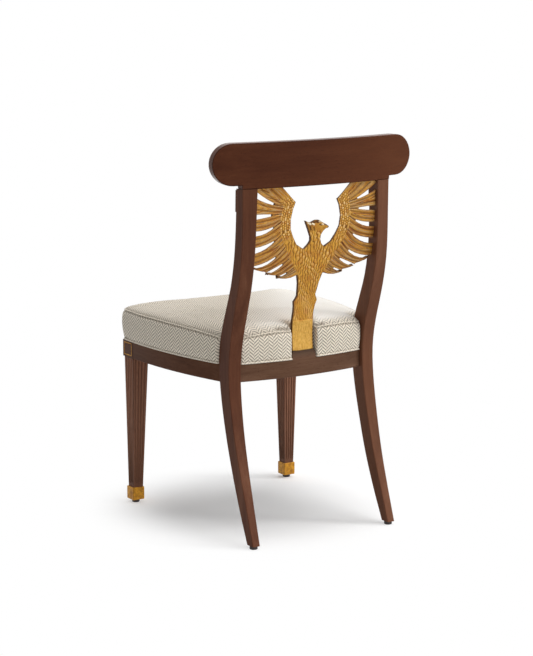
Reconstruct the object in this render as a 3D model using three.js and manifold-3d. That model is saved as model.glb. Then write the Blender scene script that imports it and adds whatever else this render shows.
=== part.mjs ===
// Klismos dining chair: swept rear legs, tablet crest rail, carved gilt bird splat, upholstered seat.
// Millimetres, +Z up, front of the chair towards -Y, the chair's left towards +X.
import * as THREE from 'three';
import { mergeVertices } from 'three/addons/utils/BufferGeometryUtils.js';
import Module from 'manifold-3d';

const wasm = await Module();
wasm.setup();

// Whole chair
const overallHeight = 915;
const fitGap = 0.3;
const cutOverrun = 4;
const arris = 1.4;

// Crest rail: a tablet with round ears and a shallow tab between the rear legs
const crestHalfLength = 267;
const crestHeight = 93.6;
const crestThickness = 28;
const crestTabDrop = 8.4;
const crestTabHalf = 198.2;
const crestRadius = 1150;
const crestTabDraft = 0.5;
const earEndAngle = 84;
const earSteps = 8;
const crestSteps = 16;

// Rear legs: each sweeps back at the foot, forward at the seat and back again to the crest rail
const footReach = 258.5;
const waistHalfWidth = 200;
const postWidth = 35;
const postTurnShare = 0.17;
const postTurnStartShare = 0.36;
const postRings = 36;
const padHeight = 50;
const padDrop = 2.5;
const padProud = 3.5;
const padDraft = 1.2;
const tenonLength = 30;
const tenonWidth = 18;
const tenonThickness = 12;
// Height, back face, front face, outer side and width, as shares of the leg's height, the foot's
// reach, the foot's reach, the waist's half width and the post's width
const postShares = [
  [0.01, 1.0, 0.9, 0.985, 0.55],
  [0.1, 0.903, 0.772, 0.984, 0.605],
  [0.2, 0.799, 0.655, 0.987, 0.7],
  [0.3, 0.712, 0.565, 0.996, 0.805],
  [0.4, 0.648, 0.494, 1.0, 0.89],
  [0.48, 0.625, 0.459, 0.999, 0.917],
  [0.54, 0.638, 0.461, 0.998, 0.935],
  [0.6, 0.68, 0.506, 1.0, 0.955],
  [0.66, 0.737, 0.581, 1.003, 0.975],
  [0.72, 0.79, 0.652, 1.002, 0.977],
  [0.78, 0.828, 0.695, 0.998, 0.96],
  [0.84, 0.847, 0.718, 0.993, 0.957],
  [0.92, 0.857, 0.731, 0.988, 0.971],
  [1.0, 0.861, 0.74, 0.989, 1.025],
];

// Seat rails
const railTop = 406;
const railHeight = 41;
const railThickness = 22;
const sideRailBow = 13;
const sideRailSteps = 14;
const rearRailRadius = 800;
const rearRailLead = 50;
const rearRailSteps = 14;
const railReveal = 0.5;

// Shoe: the rear rail rises under the splat
const shoeRise = 18.4;
const shoeFootHalf = 33;
const shoeTopHalf = 29.5;
const shoeLean = 4.5;

// Front legs: a square block over a tapered leg with reeding
const frontLegX = 216.4;
const frontLegY = -240.6;
const frontLegSplay = 4.4;
const blockHalf = 23.7;
const taperTopHalf = 21;
const taperFootHalf = 11.9;
const flutesPerFace = 4;
const fluteDepth = 1.7;
const fluteMarginShare = 0.08;
const fluteWidthShare = 0.7;
const fluteFloorShare = 0.5;
const fluteTopGap = 7;
const fluteFootGap = 14;
const fluteRunOut = 6;

// Gilt foot caps and glides
const glideHeight = 8;
const glideRadius = 9.3;
const glideStemRadius = 2;
const glideStemLength = 24;
const glideBevel = 1;
const glideSides = 20;
const capHalf = 15.8;
const capTop = 39.6;
const capFloor = 2;
const capBevel = 1;

// Inlaid gilt stringing round the outer and front faces of the front leg blocks
const stringWidth = 1.8;
const stringInset = 5;
const stringDepth = 1;
const stringProud = 0.15;

// Splat: a bird with raised wings, sawn from a bent board and carved
const splatThickness = 9;
const splatOpeningHalf = 168;
const splatTongueThickness = 5;
const splatTongueHeight = 6;
const splatTongueInset = 4;
const splatTenonHalf = 20;
const splatTenonDepth = 12;
const splatSlabSteps = 18;
const slotSteps = 5;
// Back face of the bent board: height and place, as shares of the opening's height and the foot's reach
const splatSweepShares = [
  [0.0, 0.627],
  [0.1, 0.619],
  [0.2, 0.631],
  [0.3, 0.669],
  [0.4, 0.714],
  [0.5, 0.753],
  [0.6, 0.784],
  [0.7, 0.809],
  [0.8, 0.828],
  [0.9, 0.84],
  [1.0, 0.843],
];
// Half outline from the wing's top edge to the throat of the U, as shares of the opening's half width
// and of its height above the shoe
const wingTopShare = 0.55;
const wingInnerShares = [
  [0.43, 0.947],
  [0.333, 0.906],
  [0.371, 0.866],
  [0.4, 0.806],
  [0.39, 0.748],
  [0.345, 0.703],
  [0.28, 0.656],
  [0.18, 0.628],
];
// Head and neck from the chair's left to its right, beak last
const headShares = [
  [0.143, 0.625],
  [0.084, 0.65],
  [0.058, 0.669],
  [0.06, 0.691],
  [0.089, 0.72],
  [0.12, 0.749],
  [0.167, 0.792],
  [0.114, 0.781],
  [0.068, 0.779],
  [0.036, 0.785],
  [0, 0.791],
  [-0.06, 0.79],
  [-0.125, 0.772],
  [-0.19, 0.758],
  [-0.226, 0.747],
  [-0.211, 0.738],
  [-0.177, 0.736],
  [-0.137, 0.722],
  [-0.107, 0.702],
  [-0.1, 0.677],
  [-0.124, 0.648],
  [-0.165, 0.631],
];
// Lower outline of the wing and the side of the body, from the stile to the shoe
const wingLowerShares = [
  [1.0, 0.552],
  [0.952, 0.537],
  [0.887, 0.521],
  [0.798, 0.51],
  [0.732, 0.505],
  [0.72, 0.495],
  [0.66, 0.484],
  [0.577, 0.478],
  [0.518, 0.475],
  [0.536, 0.464],
  [0.476, 0.455],
  [0.393, 0.451],
  [0.31, 0.454],
  [0.205, 0.468],
  [0.17, 0.413],
  [0.156, 0.364],
  [0.147, 0.336],
  [0.167, 0.317],
  [0.188, 0.3],
  [0.173, 0.272],
  [0.164, 0.233],
  [0.17, 0.161],
  [0.17, 0.0],
];
// Slots between the feathers: root and end, then the bow, the width at mid length and the width at the
// end, all as shares of the slot's own length
const slotShares = [
  { root: [0.613, 0.894], end: [1.036, 0.988], bow: -0.05, middle: 0.105, mouth: 0.155 },
  { root: [0.637, 0.841], end: [1.036, 0.835], bow: 0, middle: 0.11, mouth: 0.165 },
  { root: [0.617, 0.779], end: [1.036, 0.74], bow: -0.085, middle: 0.11, mouth: 0.14 },
  { root: [0.598, 0.697], end: [1.036, 0.637], bow: -0.085, middle: 0.122, mouth: 0.165 },
  { root: [0.53, 0.611], end: [1.0, 0.542], bow: -0.11, middle: 0.072, mouth: 0.02 },
  { root: [0.429, 0.553], end: [0.725, 0.495], bow: -0.045, middle: 0.115, mouth: 0.04 },
  { root: [0.31, 0.505], end: [0.545, 0.463], bow: -0.04, middle: 0.065, mouth: 0.03 },
];

// Joint fixings
const dowelRadius = 4;
const dowelSides = 12;
const dowelDepthInLeg = 14;
const dowelDepthInRail = 18;
const dowelSpacing = 20;
const screwShankRadius = 2;
const screwHeadRadius = 4;
const screwHeadHeight = 2.6;
const screwSides = 12;
const legScrewLength = 40;
const seatScrewLength = 36;

// Corner blocks
const cornerBlockHeight = 30;
const cornerBlockLeg = 74;
const rearBlockLeg = 66;
const cornerBlockReach = 27.5;

// Upholstered seat
const boardThickness = 12;
const boardInset = 2.5;
const legClearance = 1.2;
const splatClearance = 1.5;
const seatNotchHalf = 34.5;
const cushionProud = 3.5;
const cushionBulge = 8;
const cushionSeamHeight = 481;
const cushionCrown = 505;
const crownCoreRadius = 70;
const cushionCornerRadius = 18;
const coverThickness = 1.8;
const weltRadius = 2.1;
const weltSides = 6;
const waddingThickness = 4;
const frontSteps = 6;
const cornerSteps = 4;
const sideSteps = 9;
const backSteps = 6;
const notchSteps = 2;
const dustCoverThickness = 0.8;
const dustCoverCorner = 96;
const dustCoverInset = 3;

// Heights and places that follow from the sizes
const railBottom = railTop - railHeight;
const railMiddle = railTop - railHeight / 2;
const crestBottom = overallHeight - crestHeight;
const stileTop = crestBottom - crestTabDrop;
const earRadius = crestHeight / 2;
const earCentreX = crestHalfLength - earRadius;
const earCentreZ = crestBottom + earRadius;
const shoeTop = railTop + shoeRise;
const rearRailCrown = postAt(railMiddle).front + rearRailLead;
const splatHeight = stileTop - shoeTop;
const blockOuterX = frontLegX + blockHalf;
const blockInnerX = frontLegX - blockHalf;
const blockFrontY = frontLegY - blockHalf;
const blockBackY = frontLegY + blockHalf;

// Finishes
const mahogany = new THREE.MeshStandardMaterial({ color: 0x4f2a1c, roughness: 0.38, metalness: 0 });
const giltWood = new THREE.MeshStandardMaterial({ color: 0xc18d35, roughness: 0.42, metalness: 0.6 });
const giltMetal = new THREE.MeshStandardMaterial({ color: 0xb98736, roughness: 0.35, metalness: 0.85 });
const secondaryWood = new THREE.MeshStandardMaterial({ color: 0xb08a5c, roughness: 0.7, metalness: 0 });
const glideNylon = new THREE.MeshStandardMaterial({ color: 0x2b1d16, roughness: 0.5, metalness: 0 });
const herringbone = new THREE.MeshStandardMaterial({ color: 0xc9bfae, roughness: 0.95, metalness: 0 });
const foam = new THREE.MeshStandardMaterial({ color: 0xe6dcb4, roughness: 1, metalness: 0 });
const cambric = new THREE.MeshStandardMaterial({ color: 0x1c1b1a, roughness: 1, metalness: 0 });
const steel = new THREE.MeshStandardMaterial({ color: 0x9c9a94, roughness: 0.4, metalness: 0.9 });

const chair = new THREE.Group();

// A smooth value at a place in a table whose rows start with their place
function smoothAt(rows, place, column) {
  let low = 0;
  while (low < rows.length - 2 && rows[low + 1][0] < place) {
    low += 1;
  }
  const high = low + 1;
  const span = rows[high][0] - rows[low][0];
  const slopeOf = (index) => {
    const before = rows[Math.max(index - 1, 0)];
    const after = rows[Math.min(index + 1, rows.length - 1)];
    return (after[column] - before[column]) / (after[0] - before[0]);
  };
  const t = (place - rows[low][0]) / span;
  const rise = rows[high][column] - rows[low][column];
  const startSlope = slopeOf(low) * span;
  const endSlope = slopeOf(high) * span;
  const square = t * t;
  const cube = square * t;
  return rows[low][column] + startSlope * (cube - 2 * square + t)
    + rise * (3 * square - 2 * cube) + endSlope * (cube - square);
}

// A closed body from points and faces, turned so that its faces point out
function closedGeometry(points, faces) {
  let volume = 0;
  for (const [a, b, c] of faces) {
    volume += points[a].dot(new THREE.Vector3().crossVectors(points[b], points[c]));
  }
  if (volume < 0) {
    faces.forEach((face) => face.reverse());
  }
  const places = points.flatMap((point) => point.toArray());
  const geometry = new THREE.BufferGeometry();
  geometry.setAttribute('position', new THREE.Float32BufferAttribute(places, 3));
  geometry.setIndex(faces.flat());
  return geometry;
}

// A closed body through rings of points, one after another, with its two ends capped
function loft(rings) {
  const points = rings.flat();
  const count = rings[0].length;
  const faces = [];
  for (let ring = 0; ring < rings.length - 1; ring += 1) {
    for (let i = 0; i < count; i += 1) {
      const a = ring * count + i;
      const b = ring * count + (i + 1) % count;
      faces.push([a, b, b + count]);
      faces.push([a, b + count, a + count]);
    }
  }
  for (const [ring, flip] of [[0, true], [rings.length - 1, false]]) {
    const centre = new THREE.Vector3();
    rings[ring].forEach((point) => centre.add(point));
    centre.divideScalar(count);
    points.push(centre);
    for (let i = 0; i < count; i += 1) {
      const a = ring * count + i;
      const b = ring * count + (i + 1) % count;
      faces.push(flip ? [b, a, points.length - 1] : [a, b, points.length - 1]);
    }
  }
  return closedGeometry(points, faces);
}

function solidOf(geometry) {
  const bare = geometry.clone();
  bare.deleteAttribute('normal');
  bare.deleteAttribute('uv');
  const merged = mergeVertices(bare);
  return new wasm.Manifold(new wasm.Mesh({
    numProp: 3,
    vertProperties: new Float32Array(merged.attributes.position.array),
    triVerts: new Uint32Array(merged.index.array),
  }));
}

function geometryOf(solid) {
  const mesh = solid.getMesh();
  const geometry = new THREE.BufferGeometry();
  geometry.setAttribute('position', new THREE.BufferAttribute(new Float32Array(mesh.vertProperties), 3));
  geometry.setIndex(new THREE.BufferAttribute(new Uint32Array(mesh.triVerts), 1));
  return geometry;
}

function addPiece(name, shape, material) {
  const geometry = shape.isBufferGeometry ? shape : geometryOf(shape);
  const mesh = new THREE.Mesh(geometry, material);
  mesh.name = name;
  chair.add(mesh);
}

// A box between two corners
function boxBetween(low, high) {
  const size = new THREE.Vector3().subVectors(high, low);
  const geometry = new THREE.BoxGeometry(size.x, size.y, size.z);
  const centre = new THREE.Vector3().addVectors(low, high).divideScalar(2);
  geometry.translate(centre.x, centre.y, centre.z);
  return geometry;
}

// A round bar between two points
function barBetween(start, end, radius, sides) {
  const run = new THREE.Vector3().subVectors(end, start);
  const geometry = new THREE.CylinderGeometry(radius, radius, run.length(), sides);
  geometry.applyQuaternion(new THREE.Quaternion().setFromUnitVectors(
    new THREE.Vector3(0, 1, 0), run.normalize()));
  const centre = new THREE.Vector3().addVectors(start, end).divideScalar(2);
  geometry.translate(centre.x, centre.y, centre.z);
  return geometry;
}

// An outline in X and Z, pushed through the chair from one Y to another
function prismAlongY(outline, fromY, toY) {
  const shape = new THREE.Shape(outline.map(([x, z]) => new THREE.Vector2(x, z)));
  const geometry = new THREE.ExtrudeGeometry(shape, { depth: toY - fromY, bevelEnabled: false });
  geometry.rotateX(Math.PI / 2);
  geometry.translate(0, toY, 0);
  return geometry;
}

// An outline in X and Y, raised from one Z to another
function prismAlongZ(outline, fromZ, toZ) {
  const shape = new THREE.Shape(outline.map(([x, y]) => new THREE.Vector2(x, y)));
  const geometry = new THREE.ExtrudeGeometry(shape, { depth: toZ - fromZ, bevelEnabled: false });
  geometry.translate(0, 0, fromZ);
  return geometry;
}

// Rear legs
function postAt(z) {
  const share = z / stileTop;
  const back = smoothAt(postShares, share, 1) * footReach;
  const front = smoothAt(postShares, share, 2) * footReach;
  const outer = smoothAt(postShares, share, 3) * waistHalfWidth;
  const width = smoothAt(postShares, share, 4) * postWidth;
  const turned = Math.max(share - postTurnStartShare, 0) / (1 - postTurnStartShare);
  const skew = postTurnShare * turned * width / 2;
  return { back, front, outer, inner: outer - width, skew };
}

function padStepAt(z) {
  const padTop = stileTop - padDrop;
  const rise = (z - (padTop - padHeight)) / padDraft;
  const fall = (padTop - z) / padDraft;
  return padProud * THREE.MathUtils.clamp(Math.min(rise, fall), 0, 1);
}

function postRing(side, z, grow, cut) {
  const post = postAt(z);
  const outer = post.outer + grow;
  const inner = post.inner - grow;
  const backOuter = post.back - post.skew + grow;
  const backInner = post.back + post.skew + grow;
  const front = post.front - padStepAt(z) - grow;
  const corners = [
    [outer, backOuter - cut], [outer - cut, backOuter], [inner + cut, backInner], [inner, backInner - cut],
    [inner, front + cut], [inner + cut, front], [outer - cut, front], [outer, front + cut],
  ];
  return corners.map(([x, y]) => new THREE.Vector3(side * x, y, z));
}

function postSolid(side, grow) {
  const padTop = stileTop - padDrop;
  const padBottom = padTop - padHeight;
  const heights = [padBottom, padBottom + padDraft, padTop - padDraft, padTop];
  for (let i = 0; i <= postRings; i += 1) {
    heights.push(glideHeight + (stileTop - glideHeight) * i / postRings);
  }
  heights.sort((a, b) => a - b);
  return solidOf(loft(heights.map((z) => postRing(side, z, grow, arris))));
}

function tenonCorners(side, grow, topGrow) {
  const post = postAt(stileTop);
  const middleX = side * (post.outer + post.inner) / 2;
  const middleY = (post.back + post.front) / 2;
  const low = new THREE.Vector3(middleX - tenonWidth / 2 - grow, middleY - tenonThickness / 2 - grow,
    stileTop - cutOverrun);
  const high = new THREE.Vector3(middleX + tenonWidth / 2 + grow, middleY + tenonThickness / 2 + grow,
    stileTop + tenonLength + topGrow);
  return boxBetween(low, high);
}

// Rear rail's back face in plan
function rearRailBack(x) {
  return rearRailCrown - rearRailRadius + Math.sqrt(rearRailRadius ** 2 - x ** 2);
}

// Side rail's outer face in plan: a shallow bow from the front block to the rear leg
const sideRailFrontY = blockBackY;
const sideRailRearY = postAt(railMiddle).front;
const sideRailFrontX = blockOuterX - railReveal;
const sideRailRearX = postAt(railMiddle).outer - railReveal;

function sideRailOuter(y) {
  const t = (y - sideRailFrontY) / (sideRailRearY - sideRailFrontY);
  return sideRailFrontX + (sideRailRearX - sideRailFrontX) * t + 4 * sideRailBow * t * (1 - t);
}

function railRing(place, outside, inside, grow, swap) {
  const low = railBottom - grow;
  const high = railTop + grow;
  const far = outside + grow;
  const near = inside - grow;
  const corners = [
    [far, low + arris], [far, high - arris], [far - arris, high], [near + arris, high],
    [near, high - arris], [near, low + arris], [near + arris, low], [far - arris, low],
  ];
  return corners.map(([across, z]) => (swap
    ? new THREE.Vector3(place, across, z)
    : new THREE.Vector3(across, place, z)));
}

function sideRailBlank(side, grow) {
  const start = sideRailFrontY + (grow > 0 ? 0 : fitGap);
  const end = sideRailRearY + railThickness / 2;
  const rings = [];
  for (let i = 0; i <= sideRailSteps; i += 1) {
    const y = start + (end - start) * i / sideRailSteps;
    const ring = railRing(y, sideRailOuter(y), sideRailOuter(y) - railThickness, grow, false);
    rings.push(ring.map((point) => point.multiply(new THREE.Vector3(side, 1, 1))));
  }
  return solidOf(loft(rings));
}

function rearRailBlank(grow) {
  const reach = postAt(railMiddle).inner + railThickness / 2;
  const rings = [];
  for (let i = 0; i <= rearRailSteps; i += 1) {
    const x = -reach + 2 * reach * i / rearRailSteps;
    rings.push(railRing(x, rearRailBack(x), rearRailBack(x) - railThickness, grow, true));
  }
  return solidOf(loft(rings));
}

function frontRailBlank(grow) {
  const reach = blockInnerX - (grow > 0 ? 0 : fitGap);
  const outside = -(blockFrontY + railReveal);
  const rings = [-reach, reach].map((x) => railRing(x, outside, outside - railThickness, grow, true));
  rings.forEach((ring) => ring.forEach((point) => point.multiply(new THREE.Vector3(1, -1, 1))));
  return solidOf(loft(rings));
}

// Shoe under the splat, its back face leaning in to the board
function shoeBlank() {
  const back = rearRailBack(0);
  const front = back - railThickness + fitGap;
  const levels = [
    [railTop - cutOverrun, shoeFootHalf, 0],
    [railTop, shoeFootHalf, 0],
    [shoeTop, shoeTopHalf, shoeLean],
  ];
  const rings = levels.map(([z, half, lean]) => {
    const outline = [[half, back - lean], [-half, back - lean], [-half, front], [half, front]];
    return outline.map(([x, y]) => new THREE.Vector3(x, y, z));
  });
  return solidOf(loft(rings));
}

// Splat
function splatBack(z) {
  return smoothAt(splatSweepShares, (z - shoeTop) / splatHeight, 1) * footReach;
}

function splatPoint([across, up]) {
  return [across * splatOpeningHalf, shoeTop + up * splatHeight];
}

function mirrored([x, z]) {
  return [-x, z];
}

function slotPrism(side, slot) {
  const root = new THREE.Vector2(...splatPoint(slot.root));
  const run = new THREE.Vector2(...splatPoint(slot.end)).sub(root);
  const across = new THREE.Vector2(-run.y, run.x);
  const edge = (sign) => {
    const points = [];
    for (let i = 1; i <= slotSteps; i += 1) {
      const t = i / slotSteps;
      const width = 4 * slot.middle * t * (1 - t) + slot.mouth * t * (2 * t - 1);
      const lift = 4 * slot.bow * t * (1 - t) + sign * width / 2;
      points.push(root.clone().addScaledVector(run, t).addScaledVector(across, lift).toArray());
    }
    return points;
  };
  const outline = [root.toArray(), ...edge(-1), ...edge(1).reverse()];
  const placed = side > 0 ? outline : outline.map(mirrored).reverse();
  return solidOf(prismAlongY(placed, 0, footReach + cutOverrun));
}

function splatOutline() {
  const top = stileTop + splatTongueHeight;
  const tongueTopInner = wingTopShare * splatOpeningHalf + splatTongueInset;
  const inner = [[tongueTopInner, top], [tongueTopInner, stileTop], splatPoint([wingTopShare, 1]),
    ...wingInnerShares.map(splatPoint)];
  const tongueEnd = postAt(stileTop).inner - fitGap;
  const lower = [[tongueEnd, top], [tongueEnd, stileTop], ...wingLowerShares.map(splatPoint)];
  const head = headShares.map(splatPoint);
  return [...inner, ...head, ...inner.map(mirrored).reverse(), ...lower.map(mirrored), ...lower.reverse()];
}

// Tenon under the splat, or with a gap its mortise in the shoe
function splatTenon(gap) {
  const middle = splatBack(shoeTop) - splatThickness / 2;
  const halfThickness = splatTongueThickness / 2 + gap;
  const halfWidth = splatTenonHalf + gap;
  return boxBetween(
    new THREE.Vector3(-halfWidth, middle - halfThickness, shoeTop - splatTenonDepth - gap),
    new THREE.Vector3(halfWidth, middle + halfThickness, shoeTop + cutOverrun));
}

function splatSolid() {
  const low = shoeTop + fitGap;
  const top = stileTop + splatTongueHeight;
  const rings = [];
  for (let i = 0; i <= splatSlabSteps; i += 1) {
    const z = low + (top - low) * i / splatSlabSteps;
    const back = splatBack(Math.min(z, stileTop));
    const front = back - splatThickness;
    const reach = splatOpeningHalf + cutOverrun;
    const outline = [[reach, back], [-reach, back], [-reach, front], [reach, front]];
    rings.push(outline.map(([x, y]) => new THREE.Vector3(x, y, z)));
  }
  let board = solidOf(loft(rings)).intersect(solidOf(prismAlongY(splatOutline(), 0, footReach)));
  for (const side of [1, -1]) {
    board = board.subtract(postSolid(side, fitGap));
    for (const slot of slotShares) {
      board = board.subtract(slotPrism(side, slot));
    }
  }
  const shoulder = stileTop - fitGap;
  const back = splatBack(stileTop);
  const cheek = (splatThickness - splatTongueThickness) / 2;
  const reach = splatOpeningHalf + cutOverrun;
  for (const [near, far] of [[back - cheek, back + cutOverrun],
    [back - splatThickness - cutOverrun, back - splatThickness + cheek]]) {
    board = board.subtract(solidOf(boxBetween(new THREE.Vector3(-reach, near, shoulder),
      new THREE.Vector3(reach, far, top + cutOverrun))));
  }
  return board.add(solidOf(splatTenon(0)));
}

// Crest rail
function crestCentreY() {
  const post = postAt(stileTop);
  const middleX = (post.outer + post.inner) / 2;
  return post.back - Math.sqrt(crestRadius ** 2 - middleX ** 2);
}

function crestRing(x) {
  const reach = Math.abs(x);
  let low = reach < crestTabHalf + crestTabDraft / 2 ? stileTop : crestBottom;
  let high = overallHeight;
  if (reach > earCentreX) {
    const half = Math.sqrt(earRadius ** 2 - (reach - earCentreX) ** 2);
    low = earCentreZ - half;
    high = earCentreZ + half;
  }
  const turn = Math.asin(x / crestRadius);
  const front = crestRadius - crestThickness;
  const corners = [
    [crestRadius - arris, low], [crestRadius, low + arris], [crestRadius, high - arris],
    [crestRadius - arris, high], [front + arris, high], [front, high - arris],
    [front, low + arris], [front + arris, low],
  ];
  return corners.map(([radius, z]) => new THREE.Vector3(
    radius * Math.sin(turn), crestCentreY() + radius * Math.cos(turn), z));
}

function crestSolid() {
  const places = [];
  for (let i = 0; i < earSteps; i += 1) {
    const angle = THREE.MathUtils.degToRad(earEndAngle * (1 - i / earSteps));
    places.push(earCentreX + earRadius * Math.sin(angle));
  }
  places.push(earCentreX, crestTabHalf + crestTabDraft, crestTabHalf);
  for (let i = 1; i < crestSteps; i += 1) {
    places.push(crestTabHalf * (1 - 2 * i / crestSteps));
  }
  const mirroredPlaces = places.slice(0, earSteps + 3).map((x) => -x).reverse();
  let rail = solidOf(loft([...places, ...mirroredPlaces].map(crestRing)));
  for (const side of [1, -1]) {
    rail = rail.subtract(solidOf(tenonCorners(side, fitGap, fitGap)));
  }
  const back = splatBack(stileTop) - (splatThickness - splatTongueThickness) / 2;
  const groove = boxBetween(
    new THREE.Vector3(-postAt(stileTop).inner, back - splatTongueThickness - fitGap, stileTop - cutOverrun),
    new THREE.Vector3(postAt(stileTop).inner, back + fitGap, stileTop + splatTongueHeight + fitGap));
  return rail.subtract(solidOf(groove));
}

// Front legs
function taperHalf(z) {
  return taperFootHalf + (taperTopHalf - taperFootHalf) * z / railBottom;
}

// Middle of the leg in plan: it leans outwards and forwards alike on its way down
function legCentre(side, z) {
  const lean = frontLegSplay * (1 - Math.min(z, railBottom) / railBottom);
  return new THREE.Vector2(side * (frontLegX + lean), frontLegY - lean);
}

function legRing(side, z, half, depthShare) {
  const centre = legCentre(side, z);
  const pitch = (1 - 2 * fluteMarginShare) / flutesPerFace;
  const face = [[0, 0]];
  for (let flute = 0; flute < flutesPerFace; flute += 1) {
    const middle = fluteMarginShare + pitch * (flute + 1 / 2);
    const rim = pitch * fluteWidthShare / 2;
    const floor = rim * fluteFloorShare;
    face.push([middle - rim, 0], [middle - floor, 1], [middle + floor, 1], [middle + rim, 0]);
  }
  const ring = [];
  for (let turn = 0; turn < 4; turn += 1) {
    const cos = Math.cos(turn * Math.PI / 2);
    const sin = Math.sin(turn * Math.PI / 2);
    for (const [share, depth] of face) {
      const along = 2 * half * share - half;
      const out = half - depth * depthShare * fluteDepth;
      ring.push(new THREE.Vector3(
        centre.x + side * (out * cos - along * sin), centre.y + out * sin + along * cos, z));
    }
  }
  return ring;
}

function frontLegBlank(side) {
  const fluteTop = railBottom - fluteTopGap;
  const fluteFoot = capTop + fluteFootGap;
  const rings = [
    [glideHeight + capFloor + fitGap, 0],
    [fluteFoot - fluteRunOut, 0],
    [fluteFoot, 1],
    [(fluteFoot + fluteTop) / 2, 1],
    [fluteTop, 1],
    [fluteTop + fluteRunOut, 0],
    [railBottom, 0],
  ].map(([z, depth]) => legRing(side, z, taperHalf(z), depth));
  rings.push(legRing(side, railBottom, blockHalf, 0));
  rings.push(legRing(side, railTop, blockHalf, 0));
  return solidOf(loft(rings));
}

// Square ring with cut corners, for the foot cap
function squareRing(centre, z, half, cut) {
  return [
    [half, -half + cut], [half, half - cut], [half - cut, half], [-half + cut, half],
    [-half, half - cut], [-half, -half + cut], [-half + cut, -half], [half - cut, -half],
  ].map(([x, y]) => new THREE.Vector3(centre.x + x, centre.y + y, z));
}

function footCap(side) {
  const centre = legCentre(side, glideHeight);
  const outer = loft([
    squareRing(centre, glideHeight, capHalf - capBevel, capBevel),
    squareRing(centre, glideHeight + capBevel, capHalf, capBevel),
    squareRing(centre, capTop - capBevel, capHalf, capBevel),
    squareRing(centre, capTop, capHalf - capBevel, capBevel),
  ]);
  const floor = glideHeight + capFloor;
  const mouth = capTop + cutOverrun;
  const pocket = loft([
    squareRing(legCentre(side, floor), floor, taperHalf(floor) + fitGap, fitGap),
    squareRing(legCentre(side, mouth), mouth, taperHalf(mouth) + fitGap, fitGap),
  ]);
  return solidOf(outer).subtract(solidOf(pocket)).subtract(glideHole(centre.x, centre.y));
}

// Glide: a nylon foot on a steel-cored stem that is driven into the leg
function glide(x, y) {
  const top = glideHeight - fitGap;
  const profile = [
    [0, 0], [glideRadius - glideBevel, 0], [glideRadius, glideBevel], [glideRadius, top - glideBevel],
    [glideRadius - glideBevel, top], [glideStemRadius, top], [glideStemRadius, top + glideStemLength],
    [0, top + glideStemLength],
  ].map(([radius, z]) => new THREE.Vector2(radius, z));
  const geometry = new THREE.LatheGeometry(profile, glideSides);
  geometry.rotateX(Math.PI / 2);
  geometry.translate(x, y, 0);
  return geometry;
}

function glideHole(x, y) {
  const top = glideHeight + glideStemLength + cutOverrun;
  return solidOf(barBetween(
    new THREE.Vector3(x, y, 0), new THREE.Vector3(x, y, top), glideStemRadius + fitGap, dowelSides));
}

// Gilt string let into one face of a front block; axis is the face it lies on
function stringFrame(side, axis, grow) {
  const half = blockHalf - stringInset + grow;
  const hole = half - stringWidth - 2 * grow;
  const halfHeight = railHeight / 2 - stringInset + grow;
  const holeHeight = halfHeight - stringWidth - 2 * grow;
  const deep = blockHalf - stringDepth - grow;
  const proud = blockHalf + (grow > 0 ? cutOverrun : stringProud);
  const place = (along, out, z) => (axis === 'outer'
    ? new THREE.Vector3(side * (frontLegX + out), frontLegY + along, z)
    : new THREE.Vector3(side * frontLegX + along, frontLegY - out, z));
  const slab = (reach, tall, from, to) => {
    const a = place(-reach, from, railMiddle - tall);
    const b = place(reach, to, railMiddle + tall);
    return solidOf(boxBetween(a.clone().min(b), a.clone().max(b)));
  };
  return slab(half, halfHeight, deep, proud)
    .subtract(slab(hole, holeHeight, deep - cutOverrun, proud + cutOverrun));
}

// Dowels: where each rail meets a leg, two dowels cross the joint, one above the other
function dowelLine(side, joint, step, grow) {
  const z = railMiddle + step * dowelSpacing / 2;
  const legX = postAt(z).inner;
  const rearX = sideRailRearX - railThickness / 2;
  const frontX = sideRailFrontX - railThickness / 2;
  const rearY = rearRailBack(legX) - railThickness / 2;
  const frontY = blockFrontY + railReveal + railThickness / 2;
  const ends = {
    side_front: [[frontX, blockBackY - dowelDepthInLeg], [frontX, blockBackY + dowelDepthInRail]],
    front: [[blockInnerX + dowelDepthInLeg, frontY], [blockInnerX - dowelDepthInRail, frontY]],
    side_rear: [[rearX, postAt(z).front + dowelDepthInLeg], [rearX, postAt(z).front - dowelDepthInRail]],
    rear: [[legX + dowelDepthInLeg, rearY], [legX - dowelDepthInRail, rearY]],
  }[joint];
  const [start, end] = ends.map(([x, y]) => new THREE.Vector3(side * x, y, z));
  const run = new THREE.Vector3().subVectors(end, start).normalize();
  start.addScaledVector(run, -grow);
  end.addScaledVector(run, grow);
  return barBetween(start, end, dowelRadius + grow, dowelSides);
}

// Screws
function screw(head, direction, length) {
  const profile = [
    [0, 0],
    [screwHeadRadius, 0],
    [screwHeadRadius, screwHeadHeight / 2],
    [screwShankRadius, screwHeadHeight],
    [screwShankRadius, length - screwShankRadius * 2],
    [0, length],
  ].map(([radius, z]) => new THREE.Vector2(radius, z));
  const geometry = new THREE.LatheGeometry(profile, screwSides);
  const turn = new THREE.Quaternion().setFromUnitVectors(new THREE.Vector3(0, 1, 0), direction);
  geometry.applyQuaternion(turn);
  geometry.translate(head.x, head.y, head.z);
  return geometry;
}

function screwHole(head, direction, length) {
  const start = head.clone().addScaledVector(direction, -cutOverrun);
  const shankStart = head.clone().addScaledVector(direction, -fitGap);
  const seat = head.clone().addScaledVector(direction, screwHeadHeight);
  const end = head.clone().addScaledVector(direction, length + fitGap);
  return solidOf(barBetween(start, seat, screwHeadRadius + fitGap, dowelSides))
    .add(solidOf(barBetween(shankStart, end, screwShankRadius + fitGap, dowelSides)));
}

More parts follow.
